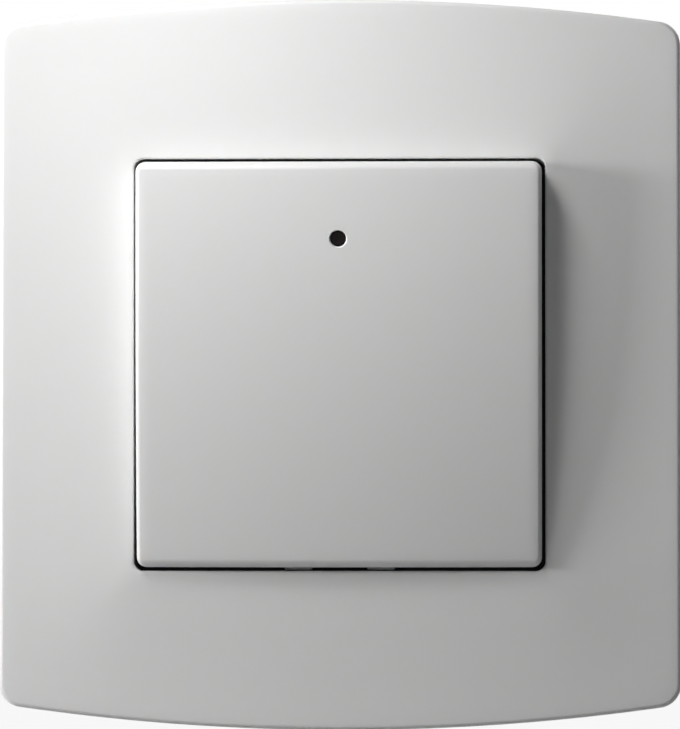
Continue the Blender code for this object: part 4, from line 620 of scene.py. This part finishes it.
plate_half_width = 38.15 * mm
plate_half_height = 40.9 * mm
plate_front = -7.5 * mm
plate_wall = 1.7 * mm
plate_corner = 2.7 * mm
plate_corner_taper = 0.5
plate_bow = 252 * mm
edge_roll = 0.5 * mm
plate_flare = 0.6 * mm
plate_flare_curve = 1.6
plate_draft = 0.25 * mm
collar_wall = 1.2 * mm
collar_back = -1.5 * mm
rim_round = 0.25 * mm
lower_lip = 0.3 * mm
opening_half_width = 22.9 * mm
opening_top = 22.9 * mm
opening_bottom = -23.25 * mm
opening_corner = 1.1 * mm


def outline_end(half_width, end, corner, bow, corner_steps, end_steps):
    """Points over one end of an outline, from its right side to its left, bowed outwards or straight."""
    if bow:
        centre = end - bow
        corner_z = centre + math.sqrt((bow - corner) ** 2 - (half_width - corner) ** 2)
        last_angle = math.atan2(corner_z - centre, half_width - corner)
    else:
        corner_z = end - corner
        last_angle = math.pi / 2
    right = []
    for i in range(corner_steps + 1):
        angle = last_angle * i / corner_steps
        right.append((half_width - corner + corner * math.cos(angle), corner_z + corner * math.sin(angle)))
    first_x = right[-1][0]
    middle = []
    for i in range(1, end_steps):
        x = first_x * (1 - 2 * i / end_steps)
        middle.append((x, centre + math.sqrt(bow**2 - x**2) if bow else end))
    left = [(-x, z) for x, z in reversed(right)]
    return right + middle + left


def outline(half_width, top, bottom, corner, bow=None, corner_steps=10, end_steps=36, side_steps=36):
    """Points (x, z) round a four-sided outline with rounded corners."""
    upper = outline_end(half_width, top, corner, bow, corner_steps, end_steps)
    lower = [(-x, -z) for x, z in outline_end(half_width, -bottom, corner, bow, corner_steps, end_steps)]
    points = list(upper)
    for i in range(1, side_steps):
        share = i / side_steps
        points.append((-half_width, upper[-1][1] * (1 - share) + lower[0][1] * share))
    points += lower
    for i in range(1, side_steps):
        share = i / side_steps
        points.append((half_width, lower[-1][1] * (1 - share) + upper[0][1] * share))
    return points


def skin(name, rings, closed):
    """A loft through rings of equally many points. A closed loft joins its last ring to its first."""
    bm = bmesh.new()
    rows = [[bm.verts.new(point) for point in ring] for ring in rings]
    pairs = list(zip(rows, rows[1:]))
    if closed:
        pairs.append((rows[-1], rows[0]))
    for lower, upper in pairs:
        count = len(lower)
        for i in range(count):
            j = (i + 1) % count
            bm.faces.new((lower[i], lower[j], upper[j], upper[i]))
    if not closed:
        bm.faces.new(rows[0])
        bm.faces.new(rows[-1])
    bmesh.ops.recalc_face_normals(bm, faces=bm.faces)
    mesh = bpy.data.meshes.new(name)
    bm.to_mesh(mesh)
    bm.free()
    return mesh


def new_piece(name, mesh, material):
    """A piece of the switch with smooth shading that stops at its sharp edges."""
    mesh.materials.append(material)
    mesh.shade_smooth()
    mesh.set_sharp_from_angle(angle=shading_edge)
    piece = bpy.data.objects.new(name, mesh)
    bpy.context.scene.collection.objects.link(piece)
    return piece


def joined_with(piece, tool, operation="UNION"):
    """Joins a helper solid to a piece, or cuts it out, and throws the helper away."""
    bpy.context.scene.collection.objects.link(tool)
    boolean = piece.modifiers.new(tool.name, "BOOLEAN")
    boolean.operation = operation
    boolean.solver = "EXACT"
    boolean.object = tool
    graph = bpy.context.evaluated_depsgraph_get()
    made = bpy.data.meshes.new_from_object(piece.evaluated_get(graph))
    piece.modifiers.clear()
    old = piece.data
    piece.data = made
    made.name = old.name
    bpy.data.meshes.remove(old)
    bpy.data.objects.remove(tool)


def box_solid(name, low, high, rounding=0.0, steps=3):
    """A block between two corners, with all its edges rounded if asked.

    Along an axis where the first corner lies beyond the second, it comes out flat.
    """
    low = Vector([min(a, b) for a, b in zip(low, high)])
    top = Vector([max(a, b) for a, b in zip(low, high)])
    bm = bmesh.new()
    bmesh.ops.create_cube(bm, size=1.0)
    bmesh.ops.scale(bm, vec=top - low, verts=bm.verts)
    bmesh.ops.translate(bm, vec=(low + top) / 2, verts=bm.verts)
    if rounding:
        bmesh.ops.bevel(
            bm,
            geom=list(bm.edges),
            offset=rounding,
            segments=steps,
            profile=0.5,
            affect="EDGES",
            clamp_overlap=True,
        )
    mesh = bpy.data.meshes.new(name)
    bm.to_mesh(mesh)
    bm.free()
    return bpy.data.objects.new(name, mesh)


def plate_face_over(x, z):
    """Depth of the face, which falls away evenly all round from the rim of its opening."""
    beside = max(abs(x) - opening_half_width, 0)
    above = max(z - opening_top, opening_bottom - z, 0)
    reach = plate_half_width - plate_draft - edge_roll - opening_half_width
    share = max(1 - math.hypot(beside, above) / reach, 0)
    return plate_front + plate_flare * (1 - share**plate_flare_curve)


def plate_outline(inset):
    return outline(
        plate_half_width - inset,
        plate_half_height - inset,
        inset - plate_half_height,
        plate_corner - inset * plate_corner_taper,
        plate_bow - inset,
    )


def opening_outline(outset):
    return outline(
        opening_half_width + outset, opening_top + outset, opening_bottom - outset, opening_corner + outset
    )


def lipped(points, share):
    """Points round the opening, of which the lower ones come inwards as the rim turns in."""
    return [(x, z + lower_lip * share * max(z / opening_bottom, 0)) for x, z in points]


plate_rings = [[(x, 0.0, z) for x, z in plate_outline(0.0)]]
roll_steps = 8
for i in range(roll_steps + 1):
    angle = math.pi / 2 * i / roll_steps
    inset = plate_draft + edge_roll * (1 - math.cos(angle))
    below = edge_roll * (1 - math.sin(angle))
    plate_rings.append([(x, plate_front + plate_flare + below, z) for x, z in plate_outline(inset)])
face_edge = plate_outline(plate_draft + edge_roll)
face_rim = opening_outline(rim_round)
face_steps = 16
for i in range(1, face_steps):
    share = i / face_steps
    ring = []
    for (x0, z0), (x1, z1) in zip(face_edge, face_rim):
        x, z = x0 + (x1 - x0) * share, z0 + (z1 - z0) * share
        ring.append((x, plate_face_over(x, z), z))
    plate_rings.append(ring)
rim_steps = 6
for i in range(rim_steps + 1):
    angle = math.pi / 2 * i / rim_steps
    outset = rim_round * (1 - math.sin(angle))
    below = rim_round * (1 - math.cos(angle))
    rim = lipped(opening_outline(outset), math.sin(angle))
    plate_rings.append([(x, plate_front + below, z) for x, z in rim])
plate_rings.append([(x, collar_back, z) for x, z in opening_outline(0.0)])
plate_rings.append([(x, collar_back, z) for x, z in opening_outline(collar_wall)])
wall_edge = plate_outline(plate_wall + plate_draft)
wall_rim = opening_outline(collar_wall)
wall_steps = 6
for i in range(wall_steps + 1):
    share = 1 - i / wall_steps
    ring = []
    for (x0, z0), (x1, z1) in zip(wall_edge, wall_rim):
        x, z = x0 + (x1 - x0) * share, z0 + (z1 - z0) * share
        ring.append((x, plate_face_over(x, z) + plate_wall, z))
    plate_rings.append(ring)
plate_rings.append([(x, 0.0, z) for x, z in plate_outline(plate_wall)])

plate_white = moulded_plastic(
    "plate_white", (0.83, 0.83, 0.825), (0.822, 0.822, 0.817), 0.30, 5200.0, 0.012 * mm, translucency=0.08
)
plate = new_piece("surround_plate_shell", skin("surround_plate_shell", plate_rings, True), plate_white)

catch_width = 5.0 * mm
catch_height = 0.7 * mm
catch_length = 1.2 * mm
catch_rise = 1.5 * mm
rib_width = 1.0 * mm
rib_back = -2.3 * mm
rib_spacing = 29.0 * mm
rib_wall_share = 0.75
join = 0.4 * mm
rib_front = plate_front + plate_wall - join
collar_sides = {
    "right": (Vector((1, 0, 0)), opening_half_width + collar_wall, plate_half_width),
    "left": (Vector((-1, 0, 0)), opening_half_width + collar_wall, plate_half_width),
    "top": (Vector((0, 0, 1)), opening_top + collar_wall, plate_half_height),
    "bottom": (Vector((0, 0, -1)), collar_wall - opening_bottom, plate_half_height),
}


def beside_collar(outwards, distance, along, depth):
    """A point outside the collar: a distance outwards, a distance along that side, and a depth."""
    sideways = Vector((abs(outwards.z), 0, abs(outwards.x)))
    return outwards * distance + sideways * along + Vector((0, depth, 0))


for outwards, collar_face, plate_edge in collar_sides.values():
    catch_back = collar_back - catch_rise
    joined_with(
        plate,
        box_solid(
            "plate_catch",
            beside_collar(outwards, collar_face - join, -catch_width / 2, catch_back - catch_length),
            beside_collar(outwards, collar_face + catch_height, catch_width / 2, catch_back),
        ),
    )
    for along in (-1, 1):
        rib_place = along * rib_spacing / 2
        rib_end = plate_edge - rib_wall_share * plate_wall
        joined_with(
            plate,
            box_solid(
                "plate_rib",
                beside_collar(outwards, collar_face - join, rib_place - rib_width / 2, rib_front),
                beside_collar(outwards, rib_end, rib_place + rib_width / 2, rib_back),
            ),
        )
plate.data.shade_smooth()
plate.data.set_sharp_from_angle(angle=shading_edge)
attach(plate, "switch_body")
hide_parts("surround_plate")


# Push button. A square, slightly crowned cap moulded from the same glossy white plastic. It is clipped
# on the rocker behind it and stands at a slight tilt, its upper edge out. Two small lugs stand from the
# lower edge of its skirt, and a small round hole lets the indicator show.

hinge_depth = 6.0 * mm
rest_tilt = math.radians(3.5)
key_half = 22.5 * mm
key_rise = 0.1 * mm
key_front = -4.99 * mm
key_wall = 1.5 * mm
key_skirt = 6.2 * mm
key_corner = 1.1 * mm
key_smallest_corner = 0.25 * mm
key_edge_round = 0.95 * mm
key_side_round = 0.5 * mm
key_crown = 0.9 * mm
key_side_crown = 0.4 * mm
at_rest = Matrix.Translation((0, -hinge_depth, 0)) @ Matrix.Rotation(rest_tilt, 4, "X")


def key_outline(inset):
    return outline(
        key_half - inset,
        key_rise + key_half - inset,
        key_rise - key_half + inset,
        max(key_corner - inset, key_smallest_corner),
        corner_steps=8,
    )


def key_face_at(x, z):
    """Depth of the button's face, which is crowned both ways, and more from top to bottom."""
    upwards = (z - key_rise) / key_half
    sideways = x / key_half
    return key_front + key_crown * upwards**2 + key_side_crown * sideways**2


def key_edge_outline(turn):
    """The outline partway round the button's edge, whose rounding is finer at the sides."""
    inset = key_edge_round * (1 - math.cos(turn))
    side_inset = key_side_round * (1 - math.cos(turn))
    widened = (key_half - side_inset) / (key_half - inset)
    return [(x * widened, z) for x, z in key_outline(inset)]


key_rings = [[(x, key_front + key_skirt, z) for x, z in key_outline(0.0)]]
key_round_steps = 8
for i in range(key_round_steps + 1):
    angle = math.pi / 2 * i / key_round_steps
    below = key_edge_round * (1 - math.sin(angle))
    key_rings.append([(x, key_face_at(x, z) + below, z) for x, z in key_edge_outline(angle)])
key_face_steps = 20


def crowned_rings(edge, back):
    """Rings that shrink from an outline to the middle of a crowned face."""
    rings = []
    for i in range(1, key_face_steps):
        share = 1 - i / key_face_steps
        ring = []
        for x, z in edge:
            inner_z = key_rise + (z - key_rise) * share
            ring.append((x * share, key_face_at(x * share, inner_z) + back, inner_z))
        rings.append(ring)
    return rings


key_rings += crowned_rings(key_edge_outline(math.pi / 2), 0.0)

# The button's white is a touch darker than the plate's: painted shade for its face, which turns a little
# away from the light.
key_white = moulded_plastic(
    "key_white", (0.82, 0.82, 0.815), (0.812, 0.812, 0.807), 0.31, 5200.0, 0.012 * mm, translucency=0.08
)
key = new_piece("push_button_cap", skin("push_button_cap", key_rings, False), key_white)

window_z = 14.095 * mm
window_diameter = 1.8 * mm
window_chamfer = 0.12 * mm
socket_bore = 3.6 * mm
socket_wall = 0.8 * mm
socket_length = 1.2 * mm
socket_end = key_face_at(0, window_z) + key_wall + socket_length
lug_width = 3.1 * mm
lug_spacing = 9.2 * mm
lug_proud = 0.4 * mm
lug_length = 2.6 * mm
lug_round = 0.15 * mm
carrier_half_height = 10.995 * mm
carrier_depth = 2.3 * mm
carrier_front = key_front + key_wall + key_crown * (carrier_half_height / key_half) ** 2
carrier_back = carrier_front + carrier_depth
clip_width = 4.0 * mm
clip_spacing = 14.0 * mm
clip_wall = 1.2 * mm
clip_hook = 0.6 * mm
clip_hook_length = 0.8 * mm
fit_gap = 0.3 * mm
overlap = 0.4 * mm
lug_from_back = 0.2 * mm


def round_solid(name, radius, start, end, end_radius=None, steps=64):
    """A cylinder or cone between two points."""
    start = Vector(start)
    end = Vector(end)
    span = end - start
    bm = bmesh.new()
    bmesh.ops.create_cone(
        bm,
        cap_ends=True,
        segments=steps,
        radius1=radius,
        radius2=radius if end_radius is None else end_radius,
        depth=span.length,
    )
    turn = span.to_track_quat("Z", "Y").to_matrix().to_4x4()
    bmesh.ops.transform(bm, matrix=Matrix.Translation((start + end) / 2) @ turn, verts=bm.verts)
    mesh = bpy.data.meshes.new(name)
    bm.to_mesh(mesh)
    bm.free()
    return bpy.data.objects.new(name, mesh)


key_inside = key_front + key_wall
hollow_edge = key_outline(key_wall)
hollow = skin(
    "key_hollow",
    [
        [(x, key_front + key_skirt + overlap, z) for x, z in hollow_edge],
        [(x, key_face_at(x, z) + key_wall, z) for x, z in hollow_edge],
    ]
    + crowned_rings(hollow_edge, key_wall),
    False,
)
joined_with(key, bpy.data.objects.new("key_hollow", hollow), "DIFFERENCE")
joined_with(
    key,
    round_solid(
        "lens_socket", socket_bore / 2 + socket_wall, (0, key_inside, window_z), (0, socket_end, window_z)
    ),
)
joined_with(
    key,
    round_solid(
        "lens_socket_bore",
        socket_bore / 2,
        (0, key_face_at(0, window_z) + key_wall, window_z),
        (0, socket_end + overlap, window_z),
    ),
    "DIFFERENCE",
)
joined_with(
    key,
    round_solid(
        "window_hole", window_diameter / 2, (0, key_front - overlap, window_z), (0, socket_end, window_z)
    ),
    "DIFFERENCE",
)
window_face = key_face_at(0, window_z)
joined_with(
    key,
    round_solid(
        "window_chamfer",
        window_diameter / 2 + 2 * window_chamfer,
        (0, window_face - window_chamfer, window_z),
        (0, window_face + window_chamfer, window_z),
        end_radius=window_diameter / 2,
    ),
    "DIFFERENCE",
)
for up in (-1, 1):
    clip_face = up * (carrier_half_height + fit_gap)
    hook_front = carrier_back + fit_gap
    for across in (-1, 1):
        clip_x = across * clip_spacing / 2
        clip = [
            (key_inside - overlap, clip_face),
            (hook_front, clip_face),
            (hook_front, clip_face - up * (fit_gap + clip_hook)),
            (hook_front + clip_hook_length, clip_face),
            (hook_front + clip_hook_length, clip_face + up * clip_wall),
            (key_inside - overlap, clip_face + up * clip_wall),
        ]
        clip_rings = [[(clip_x + side * clip_width / 2, y, z) for y, z in clip] for side in (-1, 1)]
        joined_with(key, bpy.data.objects.new("key_clip", skin("key_clip", clip_rings, False)))
for across in (-1, 1):
    lug_x = across * lug_spacing / 2
    lug_back = key_front + key_skirt - lug_from_back
    joined_with(
        key,
        box_solid(
            "key_lug",
            (lug_x - lug_width / 2, lug_back - lug_length, key_rise - key_half - lug_proud),
            (lug_x + lug_width / 2, lug_back, key_rise - key_half + overlap),
            rounding=lug_round,
            steps=2,
        ),
    )
key.data.transform(at_rest)
key.data.shade_smooth()
key.data.set_sharp_from_angle(angle=shading_edge)
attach(key, "push_button")
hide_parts("key_cap")


# Indicator lens. A light pipe of very dark red-brown plastic, moulded with a slightly hollow end that
# stops just below the button's face, and a collar that seats in the button's socket.

lens_play = 0.08 * mm
lens_neck = window_diameter / 2 - lens_play
lens_recess = 0.35 * mm
lens_hollow = 0.12 * mm
lens_hollow_share = 0.72
lens_collar = 1.6 * mm
lens_collar_length = 0.9 * mm
lens_stem = 1.1 * mm
lens_stem_reach = 3.4 * mm
lens_stem_end = key_front + lens_stem_reach
lens_edge = 0.06 * mm
lens_seat_gap = 0.2 * mm
turning_steps = 64


def turned_along_y(name, profile, material, at):
    """A turned piece from a profile of (radius, depth) points, which starts and ends on its axis."""
    bm = bmesh.new()
    first = bm.verts.new((0, profile[0][1], 0))
    last = bm.verts.new((0, profile[-1][1], 0))
    rows = []
    for radius, depth in profile[1:-1]:
        row = []
        for i in range(turning_steps):
            angle = 2 * math.pi * i / turning_steps
            row.append(bm.verts.new((radius * math.cos(angle), depth, radius * math.sin(angle))))
        rows.append(row)
    for i in range(turning_steps):
        j = (i + 1) % turning_steps
        bm.faces.new((first, rows[0][i], rows[0][j]))
        bm.faces.new((last, rows[-1][j], rows[-1][i]))
        for lower, upper in zip(rows, rows[1:]):
            bm.faces.new((lower[i], lower[j], upper[j], upper[i]))
    bmesh.ops.recalc_face_normals(bm, faces=bm.faces)
    bmesh.ops.translate(bm, vec=at, verts=bm.verts)
    mesh = bpy.data.meshes.new(name)
    bm.to_mesh(mesh)
    bm.free()
    return new_piece(name, mesh, material)


lens_face = key_face_at(0, window_z) + lens_recess
collar_front = key_face_at(0, window_z) + key_wall + lens_seat_gap
lens_smoke = clear_resin("lens_smoke", (0.012, 0.005, 0.005), (0.006, 0.003, 0.003), 0.12, 0.0, shine=0.12)
hollow_steps = 8
lens_profile = [(0, lens_face + lens_hollow)]
for i in range(1, hollow_steps + 1):
    across = i / hollow_steps
    hollow_depth = lens_hollow * (1 - across**2)
    lens_profile.append((lens_neck * lens_hollow_share * across, lens_face + hollow_depth))
lens_profile += [
    (lens_neck - lens_edge, lens_face),
    (lens_neck, lens_face + lens_edge),
    (lens_neck, collar_front),
    (lens_collar - lens_edge, collar_front),
    (lens_collar, collar_front + lens_edge),
    (lens_collar, collar_front + lens_collar_length),
    (lens_stem, collar_front + lens_collar_length),
    (lens_stem, lens_stem_end - lens_edge),
    (lens_stem - lens_edge, lens_stem_end),
    (0, lens_stem_end),
]
lens = turned_along_y("indicator_light_pipe", lens_profile, lens_smoke, (0, 0, window_z))
lens.data.transform(at_rest)
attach(lens, "push_button")
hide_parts("indicator_lens")
